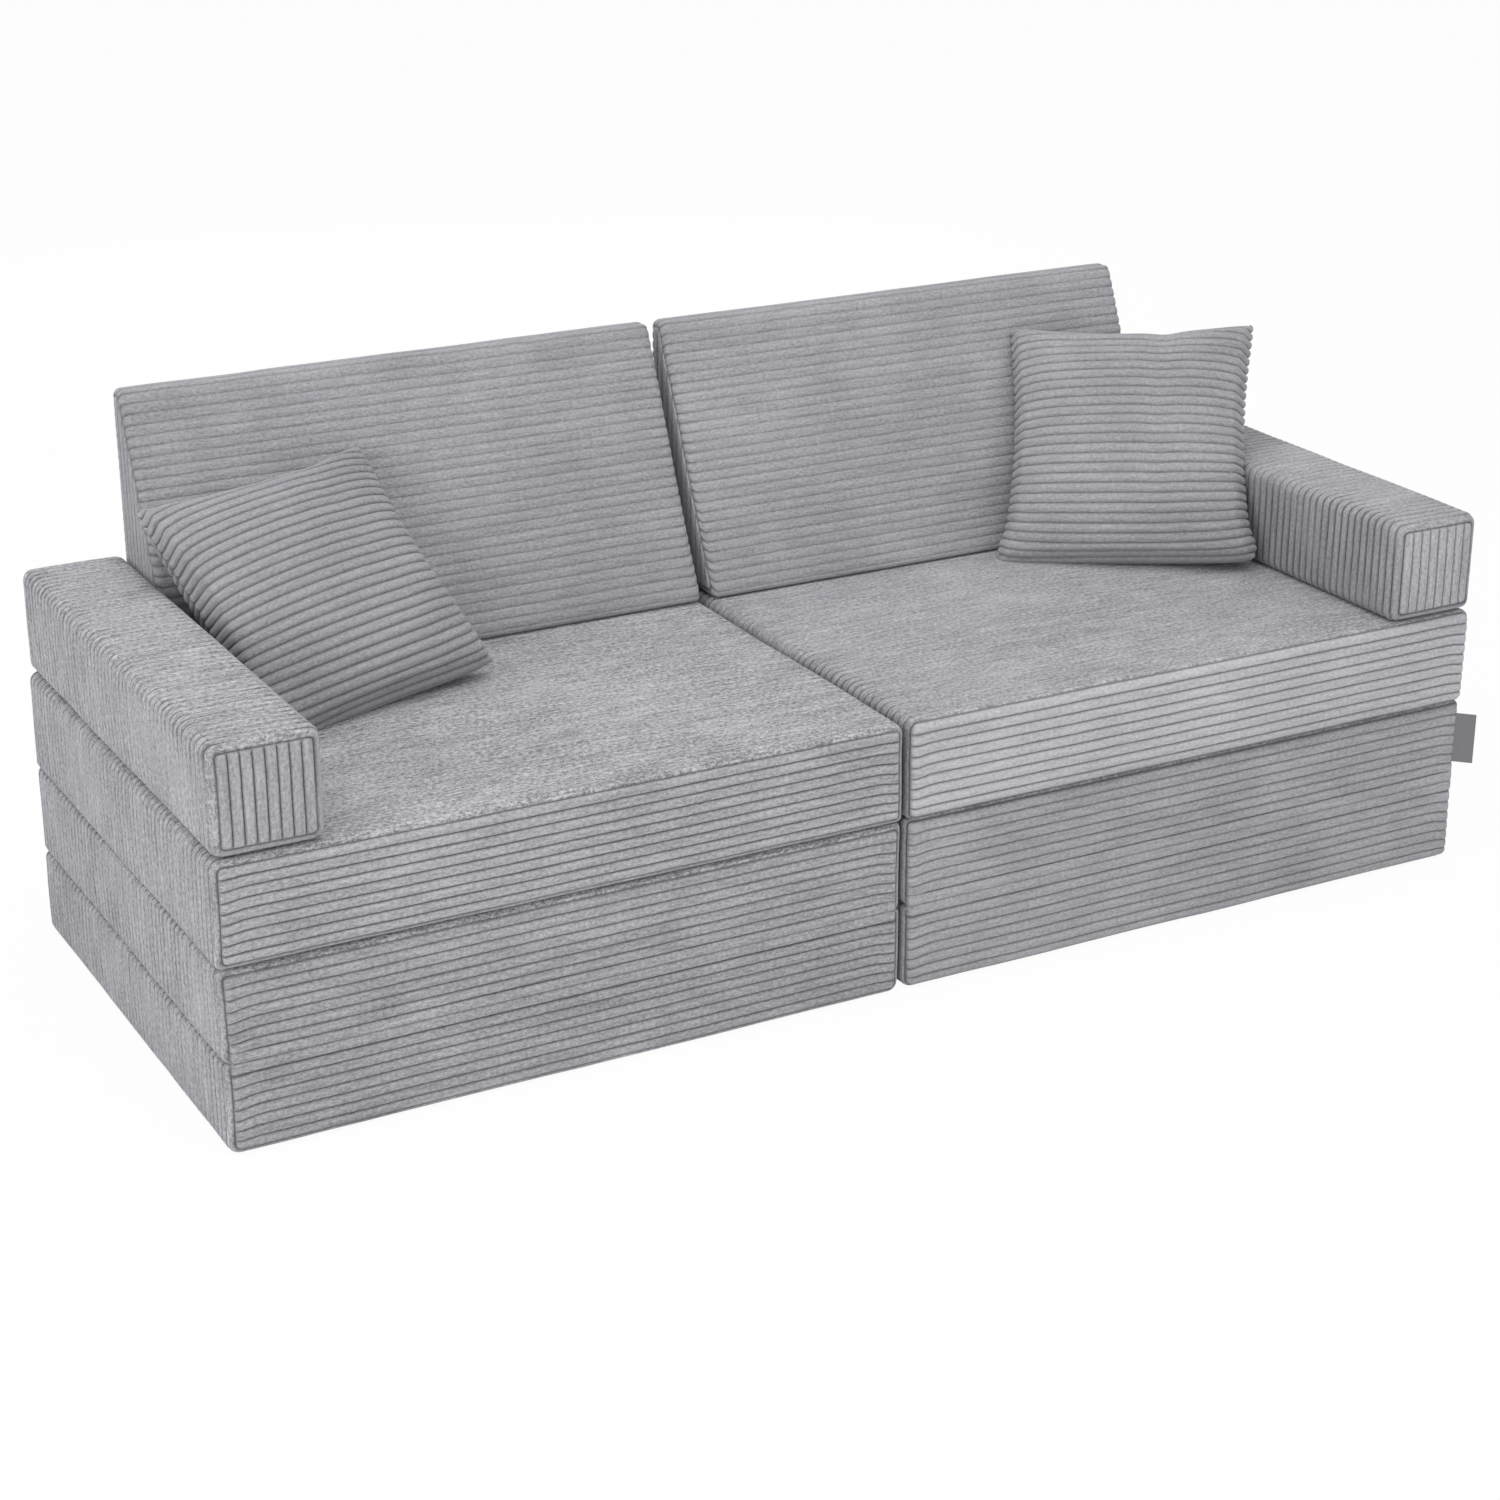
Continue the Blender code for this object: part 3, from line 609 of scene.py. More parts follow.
# Armrest: a block whose end faces have upright ribs. Its faces go round as a panel's do
armrest = {"rounding": 0.0130, "seamAngle": math.radians(20), "cornerRadius": 0.0120, "spacing": 0.0095,
           "arcSteps": 5, "power": 3.4, "crown": 0.0015, "contact": 0.0003,
           "wander": (0.0009, 0.0009, 0.0007), "wanderSize": 0.11,
           "foot": 0.012,                      # height over which it stays flat above the seat
           "cutSteps": (-0.0006, 0.0004),      # from the walls of the zip's channel to the points beside them
           "relief": {"left": (0.5, 0.6, 0.42, 1.0), "right": (0.5, 0.7, 0.75, 1.0)},
           "shade": {"left": (0.5, 0.46, 0.24, 1.0), "right": (0.5, 0.45, 0.34, 1.0)},
           "cap": {"left": ((1.0, 1.0, 0.0), (1.0, 0.8, 0.0)), "right": ((1.0, 0.7, 0.0), (1.0, 0.8, 0.0))},
           # Painted light: the armrest fronts are painted paler, and the right armrest's inner face is
           # painted darker as painted shade
           "napAndPaintedLight": {"left": ((0, 0, 0, 0), (0.09, 0)), "right": ((0, 0, 0, -0.10), (0.16, 0))},
           "crush": {"left": ((0.6, 1.1, 1.35, 0.5), (0.6, 0.5)),
                     "right": ((0.6, 0.9, 0.85, 0.5), (0.6, 0.5))},
           "seamAlong": (0.45, 0.45)}


def makeArmrest(side, seed):
    # A block with ribs round it in X and Z, swelled at the top, the front and the outer side
    node = f"{side}_armrest"
    low, high = outwardBox(node + "_cover")
    crown = armrest["crown"]
    x0, x1, y0, y1 = low[0], high[0], low[1] + crown, high[1]
    z0, z1 = low[2] + armrest["contact"], high[2] - crown
    under = zipChannel(node + "_zip", (0, 1), "wrap", 0)
    under["limits"][1] = tuple(value - y0 for value in under["limits"][1])
    inner = x0 + armrest["cornerRadius"]
    cuts = {0: [limit + change - inner for limit in under["limits"][0] for change in armrest["cutSteps"]]}
    spec = {**ownSettings(armrest, side), "ribs": "round", "across": 0, "nearEdge": 3, "farEdge": 1,
            "seed": seed, "length": y1 - y0, "cuts": cuts, "channels": [under],
            "corners": ((x0, z0), (x1, z0), (x1, z1), (x0, z1)), "radii": [armrest["cornerRadius"]] * 4,
            "place": lambda a, b, c: np.stack((a, y0 + c, b), 2)}
    crowns = {"outer": crown, "front": crown, "top": crown, "stillInner": True}

    def swell(points):
        # As swellBox, but flat where it stands on the seat
        moved = swellBox(points, (x0, y0, z0), (x1, y1, z1), crowns, seed, armrest)
        foot = smooth((points[:, 2] - z0) / armrest["foot"])
        moved[:, 2] = points[:, 2] + (moved[:, 2] - points[:, 2]) * foot
        return moved
    spec["swell"] = swell
    return finishCushion(ribbedBlock(f"{side}ArmrestCushion", spec, side == "left"), node)


# Backrest: a wedge whose ribs run along X, with upright ribs on its ends. Its faces go round from
# the bottom: bottom, rear, top, slope
backrest = {"rounding": 0.0090, "seamAngle": math.radians(14), "spacing": 0.0130, "power": 2.8,
            "topDepth": 0.026, "footDepth": 0.158, "radii": (0.006, 0.008, 0.008, 0.007),
            "inset": 0.0010, "outerInset": 0.0006, "contact": 0.0003,
            "crown": 0.0020, "innerCrown": 0.0010, "wander": (0.0009, 0.0011, 0.0006), "wanderSize": 0.12,
            "foot": 0.02,                      # height over which it stays flat above the seat
            "loose": (0.97, 0.3),              # its outer end stays off the armrest: where, and over how much
            "relief": (0.6, 0.8, 0.7, 0.70), "shade": (0.5, 0.5, 0.4, 0.25),
            "cap": ((1.0, 0.7, 0.0), (1.0, 0.7, 0.0)),
            # Painted shade: the slopes are painted darker, the left one more, where the left lamp lights it
            # more
            "napAndPaintedLight": {"left": ((0, 0, 0, -0.07), (0, 0)), "right": ((0, 0, 0, -0.015), (0, 0))},
            "crush": ((0.45, 0.45, 0.45, 0.45), (0.45, 0.45)), "seamAlong": (0.8, 0.8)}


def makeBackrest(side, seed):
    # The wedge's outline is carried along X. Its slope rises by crown (1 - u^2)(1 - w^2)
    node = f"{side}_backrest"
    low, high = outwardBox(node + "_cover")
    inset = backrest["inset"]
    x0, x1 = low[0] - inset, high[0] - backrest["outerInset"]
    z0, z1, y1 = low[2] + backrest["contact"], high[2], high[1]
    foot, top = y1 - backrest["footDepth"] + inset, y1 - backrest["topDepth"] + inset
    under = zipChannel(node + "_zip", (1, 0), "wrap", 0)
    under["limits"][1] = tuple(value - x0 for value in under["limits"][1])
    spec = {**ownSettings(backrest, side), "ribs": "along", "across": 0, "nearEdge": 3, "farEdge": 1,
            "seed": seed, "length": x1 - x0, "channels": [under],
            "corners": ((foot, z0), (y1, z0), (y1, z1), (top, z1)),
            "place": lambda a, b, c: np.stack((x0 + c, a, b), 2)}

    def swell(points):
        # The slope and the inner end are crowned, and the cloth wanders where nothing holds it
        u = np.clip((2 * points[:, 0] - x0 - x1) / (x1 - x0), -1, 1)
        w = np.clip((2 * points[:, 2] - z0 - z1) / (z1 - z0), -1, 1)
        slope = foot + (top - foot) * (w + 1) / 2
        v = np.clip((points[:, 1] - slope) / (y1 - slope), 0, 1)
        moved = points.copy()
        moved[:, 1] -= backrest["crown"] * (1 - u * u) * (1 - w * w) * (1 - v)
        moved[:, 0] -= backrest["innerCrown"] * (1 - w * w) * (1 - u) / 2 * v * (1 - v) * 4
        free = smooth((points[:, 2] - z0) / backrest["foot"])
        loose = smooth((backrest["loose"][0] - u) / backrest["loose"][1])
        for axis, reach in enumerate(backrest["wander"]):
            noise = softNoise(points, seed + axis, backrest["wanderSize"], 3)
            moved[:, axis] += reach * free * noise * (1 if axis else loose)
        return moved
    spec["swell"] = swell
    return finishCushion(ribbedBlock(f"{side}BackrestCushion", spec, side == "left"), node)


# The strip of corduroy over each hinge, two ribs tall, flush with the faces on both sides of it
strip = {"bend": 0.0045, "columns": 66, "under": 0.0003, "above": 0.00015, "shade": 0.6, "innerUnshadedShare": 0.3}


def makeStrip(side, name, face, sign, lower, hinge, ribs, seed):
    # A thin closed sheet. Its outer surface is two ribs, from groove to groove over the hinge, and
    # both ends dip into the seams. Its inner surface lies on the covers behind it
    inner = outwardBox(f"{side}_{lower}_cover")[0][0]
    rounding = panel["rounding"]
    seam = seamPlace(rounding, panel["seamAngle"][side])
    sideLow, sideHigh = inner - panel["proud"], inner + panel["width"] + panel["proud"]
    x0, x1 = sideLow + seam, sideHigh - seam
    phases = np.append(np.tile(cord["phases"], 2), 0.0)
    number = np.append(np.repeat((0, 1), len(cord["phases"])), 1)
    place = np.where(number == 0, (phases - 1) * ribs[0], phases * ribs[1])
    place[-1] = ribs[1]
    height = hinge + place
    x = x0 + (x1 - x0) * capShares(strip["columns"], x1 - x0)
    drawn = 1 - smooth(np.minimum(x - x0, x1 - x) / cord["seamEnd"])
    # Its ends bend back round the corners with the covers
    lean = np.clip(rounding - np.minimum(x - sideLow, sideHigh - x), 0, rounding - seam)
    back = rounding - np.sqrt(rounding ** 2 - lean ** 2)
    rise = ribHeight(phases)
    outer = -cord["depth"] * (1 - rise)[:, None] * (1 - drawn)[None] - cord["depth"] * drawn[None]
    points = []
    for depth in (outer, np.full_like(outer, strip["under"] - panel["stripDepth"])):
        points.append(np.stack((np.repeat(x[None], len(height), 0), face + sign * (depth - back[None]),
                                np.repeat(height[:, None], len(x), 1)), 2).reshape(-1, 3))
    rows, columns = outer.shape
    size = rows * columns
    ring = gridRing(rows, columns)
    following = np.roll(ring, -1)
    walls = np.stack((ring, following, following + size, ring + size), 1)
    quads = np.concatenate((gridQuads(rows, columns), gridQuads(rows, columns, size), walls))
    # Painted shade: the strip's grooves, its ends where it dips into the seams, and its hidden inner surface
    # are painted darker
    shade = panel["cap"][side]["base"][0][1] * strip["shade"]
    outerUnshadedShare = (1 - (1 - rise[:, None]) * shade) * (1 - cord["seamShade"] * drawn)[None]
    unshadedShare = np.concatenate((outerUnshadedShare.ravel(), np.full(size, strip["innerUnshadedShare"])))
    cloth = np.stack((np.tile(x, len(height)), np.repeat(height, len(x)), np.full(size, 3.0)), 1)
    tone = np.random.default_rng(seed).uniform(-1, 1, 3)
    toneLevel = np.tile(np.repeat(cord["tone"] * tone[number][:, None], columns, 1).ravel(), 2)
    values = {"unshadedShare": unshadedShare, "toneLevel": toneLevel, "crush": np.full(2 * size, panel["crush"][side][1][0]),
              "clothPlace": np.tile(cloth, (2, 1))}
    piece = buildMesh(f"{side}{name}Strip", np.concatenate(points), quads, np.zeros((0, 3), int), values,
                      side == "left")
    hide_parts(f"{side}_{'front' if sign < 0 else 'rear'}_hinge_tape")
    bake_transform(piece)
    return piece


# Pillows: pressure swells a sewn pair of square sheets
pillow = {"size": (0.300, 0.304), "thickness": 0.1180, "swellPower": 0.42, "sag": 0.16, "sagSwell": 1.04,
          "draw": {"sides": 0.112, "top": 0.112, "foot": 0.010}, "blunt": 0.005,
          "toe": {"left": 0.014, "right": 0.003},        # how far the lower inner corner reaches out
          "corner": {"left": 0.012, "right": 0.0},       # how far the top corner by the armrest is pulled in
          "flare": {"left": 0.001, "right": 0.0078},     # how far the lower corners stand out sideways
          "flareAt": -0.87,
          "dent": {"left": (0.4, 0.0015), "right": (0.28, 0.0040)},    # place and depth in the top edge
          "edgeWidth": 0.13,                             # of the dent and of the flare
          "cells": 34, "columns": 96, "dense": 241, "sheet": 0.322,
          "frames": 16, "most": 0.0045, "pucker": 0.0008, "puckerSize": 0.12, "puckerReach": 0.2,
          "cloth": {"quality": 6, "mass": 0.25, "air_damping": 2.0, "tension_stiffness": 12,
                    "compression_stiffness": 12, "shear_stiffness": 4, "bending_stiffness": 0.4,
                    "use_pressure": True, "uniform_pressure_force": 0.6},
          "depth": 0.0029, "ribPower": 3.1, "fade": 0.003, "scallop": 0.0032, "scallopReach": 0.004,
          # Painted shade: each pillow is painted darker all over, the left one more, and shade is how dark
          # its grooves are painted
          "shade": {"left": 0.58, "right": 0.38}, "crush": 0.4, "napAndPaintedLight": {"left": -0.10, "right": -0.05},
          "turns": {"left": (-6.5, 48.5, 6.5), "right": (40.2, 34.9, 3.8)},    # yaw, lean and roll in degrees
          "clear": 0.0012}


def cubicRows(count, places):
    # Catmull-Rom weights that read a row of count values at places from 0 to count - 1
    base = np.clip(np.floor(places).astype(int), 0, count - 2)
    t = places - base
    weights = np.stack((-t + 2 * t ** 2 - t ** 3, 2 - 5 * t ** 2 + 3 * t ** 3,
                        t + 4 * t ** 2 - 3 * t ** 3, -t ** 2 + t ** 3), 1) / 2
    matrix = np.zeros((len(places), count))
    for step in range(4):
        np.add.at(matrix, (np.arange(len(places)), np.clip(base + step - 1, 0, count - 1)), weights[:, step])
    return matrix


def sewnPair(rows, columns):
    # Two grids that share their border points. Gives the numbers of the first grid's points and of
    # the second's, those of both that are used, and each grid's quads in the numbering of the used
    size = rows * columns
    index = np.arange(size).reshape(rows, columns)
    second = index.copy()
    second[1:-1, 1:-1] += size
    quads = gridQuads(rows, columns)
    others = np.stack((second[:-1, :-1], second[1:, :-1], second[1:, 1:], second[:-1, 1:]), 2).reshape(-1, 4)
    used = np.unique(np.concatenate((quads, others)))
    renumber = np.zeros(2 * size, int)
    renumber[used] = np.arange(len(used))
    return index, second, used, renumber[quads], renumber[others]


def pillowSheets(side, seed):
    # Front and back of the pillow as two grids over the same edge, in the pillow's own X, Y, Z. Half
    # the thickness is ((1 - u^2)(1 - v^2))^power, with the fullest part also a little lower, where
    # the filling sinks, and each edge curves in between the corners
    cells = pillow["cells"]
    share = np.linspace(-1, 1, cells + 1)
    u, v = np.meshgrid(share, share)
    halfX, halfZ = (size / 2 for size in pillow["size"])
    draw, width = pillow["draw"], pillow["edgeWidth"]
    drawZ = (draw["top"] * (1 + v) + draw["foot"] * (1 - v)) / 2
    low = v + pillow["sag"] * (1 - v * v)
    bulge = np.maximum(((1 - u * u) * (1 - v * v)) ** pillow["swellPower"],
                       pillow["sagSwell"] * ((1 - u * u) * (1 - low * low)) ** pillow["swellPower"])
    places = np.stack((u, v, 0 * u), 2).reshape(-1, 3)
    dentPlace, dentDepth = pillow["dent"][side]
    dent = dentDepth * np.exp(-((u - dentPlace) / width) ** 2) * ((1 + v) / 2) ** 6
    pulled = pillow["corner"][side] * ((1 - u) * (1 + v) / 4) ** 3
    blunt = pillow["blunt"] * np.abs(u * v) ** 9
    longer = pillow["toe"][side] * ((1 - u) * (1 - v) / 4) ** 3
    flare = pillow["flare"][side] * np.abs(u) ** 3 * np.exp(-((v - pillow["flareAt"]) / width) ** 2)
    front = np.stack((halfX * u * (1 - draw["sides"] * (1 - v * v)) + pulled + (flare - blunt) * np.sign(u),
                      -pillow["thickness"] / 2 * bulge,
                      halfZ * v * (1 - drawZ * (1 - u * u)) - dent - blunt * np.sign(v) - longer), 2)
    back = front * (1, -1, 1)
    index, second, used, quads, others = sewnPair(cells + 1, cells + 1)
    size = index.size
    points = np.concatenate((front.reshape(-1, 3), back.reshape(-1, 3)))
    body = buildMesh("pillowSheets", points[used], quads, others, {}, False)
    cloth = body.modifiers.new("inflate", "CLOTH")
    for key, value in pillow["cloth"].items():
        setattr(cloth.settings, key, value)
    cloth.settings.effector_weights.gravity = 0
    cloth.point_cache.frame_end = pillow["frames"]
    for number in range(1, pillow["frames"] + 1):
        scene.frame_set(number)
    result = body.evaluated_get(bpy.context.evaluated_depsgraph_get()).to_mesh()
    blown = np.zeros(len(result.vertices) * 3)
    result.vertices.foreach_get("co", blown)
    bpy.data.objects.remove(body)
    scene.frame_set(1)
    # No point moves further than most, and none moves in
    move = blown.reshape(-1, 3) - points[used]
    longest = np.linalg.norm(move, axis=1, keepdims=True) + 1e-9
    print("pillow swelled by up to", round(float(longest.max()) * 1000, 1), "mm")
    move *= np.minimum(1, pillow["most"] / longest)
    swelled = points.copy()
    swelled[used] += move
    swelled[:size, 1] = np.minimum(swelled[:size, 1], points[:size, 1])
    swelled[size:, 1] = np.maximum(swelled[size:, 1], points[size:, 1])
    # The cloth puckers where it is sewn
    near = 1 - np.maximum(np.abs(u), np.abs(v))
    pucker = pillow["pucker"] * softNoise(places, seed, pillow["puckerSize"], 2).reshape(u.shape)
    pucker *= np.exp(-near / pillow["puckerReach"]) * (near > 0)
    front, back = swelled[index], swelled[second]
    for grid in (front, back):
        grid[:, :, 1] += pucker
    return front, back


def turnAbout(axis, degrees):
    # The matrix that turns points about X, Y or Z
    c, s = math.cos(math.radians(degrees)), math.sin(math.radians(degrees))
    matrix = np.eye(3)
    one, two = [(1, 2), (2, 0), (0, 1)][axis]
    matrix[one, one] = matrix[two, two] = c
    matrix[one, two], matrix[two, one] = -s, s
    return matrix


def makePillow(side, seed):
    # Ribs laid over both sheets: each column is cut at even steps along its own length, so the ribs
    # stay equally wide, and the cloth sinks by depth times (1 - rib height) along its normal
    node = f"{side}_pillow"
    low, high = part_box(node + "_cover")
    centre = np.array((low + high) / 2)
    sheets = pillowSheets(side, seed)
    cells = pillow["cells"]
    places, phase, rib = ribPlaces(pillow["sheet"])
    dense = cubicRows(cells + 1, np.linspace(0, cells, pillow["dense"]))
    columns = cubicRows(cells + 1, smoothEnds(pillow["columns"]) * cells)
    index, _, used, quads, others = sewnPair(len(places), len(columns))
    rise = np.repeat(ribHeight(phase, pillow["ribPower"])[:, None], len(columns), 1)
    points = []
    for grid, outward in zip(sheets, (-1, 1)):
        curves = np.einsum("ri,ijk,cj->rck", dense, grid, columns)
        steps = np.linalg.norm(np.diff(curves, axis=0), axis=2)
        run = np.concatenate((np.zeros((1, steps.shape[1])), np.cumsum(steps, 0))) / steps.sum(0)
        fine = np.stack([np.stack([np.interp(places / places[-1], run[:, column], curves[:, column, axis])
                                   for axis in range(3)], 1) for column in range(run.shape[1])], 1)
        normal = np.cross(np.gradient(fine, axis=1), np.gradient(fine, axis=0))
        normal /= np.linalg.norm(normal, axis=2, keepdims=True) + 1e-12
        normal *= np.sign((normal[:, :, 1] * outward).mean())
        border = np.minimum(*(np.linalg.norm(fine - seam, axis=2) for seam in (fine[:, :1], fine[:, -1:])))
        fade = smooth(border / pillow["fade"])
        scallop = pillow["scallop"] * (1 - rise) * np.exp(-border / pillow["scallopReach"])
        fine[:, :, 0] -= np.sign(fine[:, :, 0]) * scallop
        points.append((fine - normal * (pillow["depth"] * (1 - rise) * fade)[:, :, None]).reshape(-1, 3))

    # Turned as the CAD pillow is, and kept off the seat, the backrest and the armrest
    yaw, lean, roll = pillow["turns"][side]
    turn = turnAbout(2, -yaw) @ turnAbout(0, -lean) @ turnAbout(1, -roll)
    points = keepClear(np.concatenate(points) @ turn.T + centre, side)
    ribTone = np.random.default_rng(seed).uniform(-1, 1, 400)
    toneLevel = pillow["napAndPaintedLight"][side] + cord["tone"] * np.tile(np.repeat(ribTone[rib], len(columns)), 2)
    along = smoothEnds(pillow["columns"]) * pillow["size"][0]
    flat = np.broadcast_arrays(along[None], places[:, None], 0.0)
    cloth = np.tile(np.stack(flat, 2).reshape(-1, 3), (2, 1))
    cloth[index.size:, 2] = 2.0
    values = {"unshadedShare": np.tile((1 - pillow["shade"][side] * (1 - rise)).ravel(), 2)[used], "toneLevel": toneLevel[used],
              "crush": np.full(len(used), pillow["crush"]), "clothPlace": cloth[used]}
    piece = buildMesh(f"{side}PillowCushion", points[used], quads, others, values, False)
    return finishCushion(piece, node)


def keepClear(points, side):
    # Moves points out of the armrest, the backrest's slope and the seat, by the shortest way
    sign = -1 if side == "left" else 1
    armLow, armHigh = outwardBox(f"{side}_armrest_cover")
    backLow, backHigh = outwardBox(f"{side}_backrest_cover")
    gap = pillow["clear"]
    moved = points.copy()
    x = moved[:, 0] * sign
    overArm = armHigh[2] + gap - moved[:, 2]
    pastArm = x - (armLow[0] - gap)
    inside = (overArm > 0) & (pastArm > 0)
    x = np.where(inside & (pastArm <= overArm), armLow[0] - gap, x)
    moved[:, 2] = np.where(inside & (pastArm > overArm), armHigh[2] + gap, moved[:, 2])
    moved[:, 0] = x * sign
    share = np.clip((moved[:, 2] - backLow[2]) / (backHigh[2] - backLow[2]), 0, 1)
    slope = backHigh[1] - backrest["footDepth"] + (backrest["footDepth"] - backrest["topDepth"]) * share
    slope -= gap + backrest["crown"]
    beside = (moved[:, 2] < backHigh[2]) & (x < backHigh[0])
    moved[:, 1] = np.where(beside, np.minimum(moved[:, 1], slope), moved[:, 1])
    moved[:, 2] = np.maximum(moved[:, 2], armLow[2] + gap)
    return moved


seeds = {"left": 100, "right": 200}
pieces = []
for side, seed in seeds.items():
    pieces.append(makePanel(side, "base_lower", seed + 1, {"top": 0}))
    pieces.append(makePanel(side, "base_upper", seed + 2, {"bottom": 0, "top": 1}))
    seatInner = outwardBox(f"{side}_seat_cover")[0][0]
    armInner = outwardBox(f"{side}_armrest_cover")[0][0]
    dome = {**seatDome, "low": (seatInner, seatDome["front"]), "high": (armInner, seatDome["rear"])}
    pieces.append(makePanel(side, "seat", seed + 3, {"bottom": 1}, dome, panel["frontCrown"]))
    pieces.append(makeArmrest(side, seed + 4))
    pieces.append(makeBackrest(side, seed + 5))
    pieces.append(makePillow(side, seed + 6))
    print(side, "module cushions made")

for side in seeds:
    for name, sign, lower, upper in (("FrontHinge", -1, "base_lower", "base_upper"),
                                     ("RearHinge", 1, "base_upper", "seat")):
        low, high = outwardBox(f"{side}_{lower}_cover")
        upperLow, upperHigh = outwardBox(f"{side}_{upper}_cover")
        domeHeight = seatDome["height"] if upper == "seat" else 0
        heights = (high[2] - low[2], upperHigh[2] - upperLow[2] - domeHeight)
        seam = seamPlace(panel["rounding"], panel["seamAngle"][side]) * (1 + cord["hingeInset"])
        spans = [height - 2 * panel["contact"] - seam for height in heights]
        ribs = [span / round(span / cord["pitch"]) for span in spans]
        face = low[1] if sign < 0 else high[1]
        pieces.append(makeStrip(side, name, face, sign, lower, high[2] + strip["above"], ribs,
                                seeds[side] + 9))
print("hinge strips made")

# Corduroy: cut-pile polyester. Flat plush ribs with narrow grooves painted dark as painted shade, a grainy
# nap that scatters light, and soft paler and darker patches where the nap has been brushed. Whole faces also
# carry painted light and shade
corduroy, tree, shader = newMaterial("corduroyPlush", {
    "Roughness": 0.92, "Specular IOR Level": 0.15,
    "Sheen Weight": 0.35, "Sheen Roughness": 0.55, "Sheen Tint": srgb("#D8D8DC")})
# The nap's layers: size of their humps across the ribs in metres, how many times as long they are
# along them, detail, roughness, the low end of the noise that counts, and how far they change the tone
layers = {"bands": (0.0200, 4.5, 2.0, 0.5, 0.30, 0.08),    # pile brushed over two ribs at a time
          "streaks": (0.0042, 9.0, 2.0, 0.5, 0.25, 0.20),  # nap lying one way or the other in runs of 40 mm
          "tufts": (0.0030, 1.7, 1.0, 0.5, 0.30, 0.27),    # clumps of pile
          "grain": (0.0015, 1.3, 2.0, 0.7, 0.25, 0.36)}    # tips of the pile, drawn 1.5 mm wide to show
cloth = addNode(tree, "ShaderNodeAttribute", {"attribute_name": "clothPlace"}).outputs["Vector"]
unshadedShare, toneLevel, crush = (addNode(tree, "ShaderNodeAttribute", {"attribute_name": name}).outputs["Fac"]
                    for name in ("unshadedShare", "toneLevel", "crush"))
humps, uneven = {}, None
for name, (size, along, detail, roughness, start, amount) in layers.items():
    scaled = addNode(tree, "ShaderNodeMapping", {"Scale": (1 / size / along, 1 / size, 1 / size)},
                     {"Vector": cloth})
    humps[name] = addNode(tree, "ShaderNodeTexNoise",
                          {"Scale": 1.0, "Detail": detail, "Roughness": roughness},
                          {"Vector": scaled.outputs["Vector"]}).outputs["Fac"]
    layer = addNode(tree, "ShaderNodeMapRange", {"From Min": start, "From Max": 1 - start, "To Min": -amount,
                                                 "To Max": amount}, {"Value": humps[name]}).outputs["Result"]
    if uneven:
        layer = addNode(tree, "ShaderNodeMath", {"operation": "ADD"}, {0: uneven, 1: layer}).outputs[0]
    uneven = layer
uneven = addNode(tree, "ShaderNodeMath", {"operation": "MULTIPLY"}, {0: uneven, 1: crush}).outputs[0]
place = addNode(tree, "ShaderNodeTexCoord").outputs["Object"]
patches = addNode(tree, "ShaderNodeTexNoise", {"Scale": 8.0, "Detail": 2.0}, {"Vector": place}).outputs["Fac"]
patches = addNode(tree, "ShaderNodeMapRange", {"From Min": 0.3, "From Max": 0.7, "To Min": -0.08,
                                               "To Max": 0.08}, {"Value": patches}).outputs["Result"]
# The tone: rib tones and each face's tone, partly painted light and shade, then patches and the nap's layers
level = addNode(tree, "ShaderNodeMapRange", {"From Min": -0.5, "From Max": 0.5},
                {"Value": toneLevel}).outputs["Result"]
for change in (patches, uneven):
    level = addNode(tree, "ShaderNodeMath", {"operation": "ADD"}, {0: level, 1: change}).outputs[0]
napAndPaintedLight = addNode(tree, "ShaderNodeValToRGB", {}, {"Fac": level})
ramp = napAndPaintedLight.color_ramp
ramp.elements[0].color, ramp.elements[1].color = srgb("#717175"), srgb("#C6C6CA")
ramp.elements.new(0.5).color = srgb("#9F9FA3")
# Painted shade: the grooves and seams are mixed towards a dark grey
depth = addNode(tree, "ShaderNodeMapRange", {"From Max": 0.95}, {"Value": unshadedShare}).outputs["Result"]
groove = addNode(tree, "ShaderNodeMix", {"data_type": "RGBA", 6: srgb("#3A3A3E")},
                 {0: depth, 7: napAndPaintedLight.outputs["Color"]})
tree.links.new(groove.outputs[2], shader.inputs["Base Color"])
tips = addNode(tree, "ShaderNodeMath", {"operation": "ADD"}, {0: humps["grain"], 1: humps["tufts"]})
bump = addNode(tree, "ShaderNodeBump", {"Strength": 1.0, "Distance": 0.0012}, {"Height": tips.outputs[0]})
tree.links.new(bump.outputs["Normal"], shader.inputs["Normal"])
for piece in pieces:
    piece.data.materials.append(corduroy)

# Matt materials, each one fine pattern that runs between two colours and, where a bump is given, raises the
# surface:
# the node names' ending, the pattern, its settings and its output, the colours, roughness, and bump
matt = {
    # Flexible foam: pale, matt and open-celled
    "polyurethaneFoam": ("_core", "ShaderNodeTexVoronoi", {"Scale": 700.0}, "Distance",
                         ("#C9C4B2", "#EFECE0"), 0.95, (0.4, 0.0006)),
    # Polyester fibre fill: white and fluffy
    "polyesterFibre": ("_filling", "ShaderNodeTexNoise", {"Scale": 180.0, "Detail": 5.0, "Distortion": 1.5},
                       "Fac", ("#D4D4D4", "#FAFAFA"), 1.0, None),
    # Woven satin label: dense polyester threads 0.25 mm apart, drawn as 0.6 mm so that they show
    "wovenSatinLabel": ("label", "ShaderNodeTexWave",
                        {"Scale": 260.0, "Distortion": 0.3, "bands_direction": "Z"},
                        "Fac", ("#6A6A6E", "#7A7A7E"), 0.6, (0.3, 0.0003))}
finishes = {}
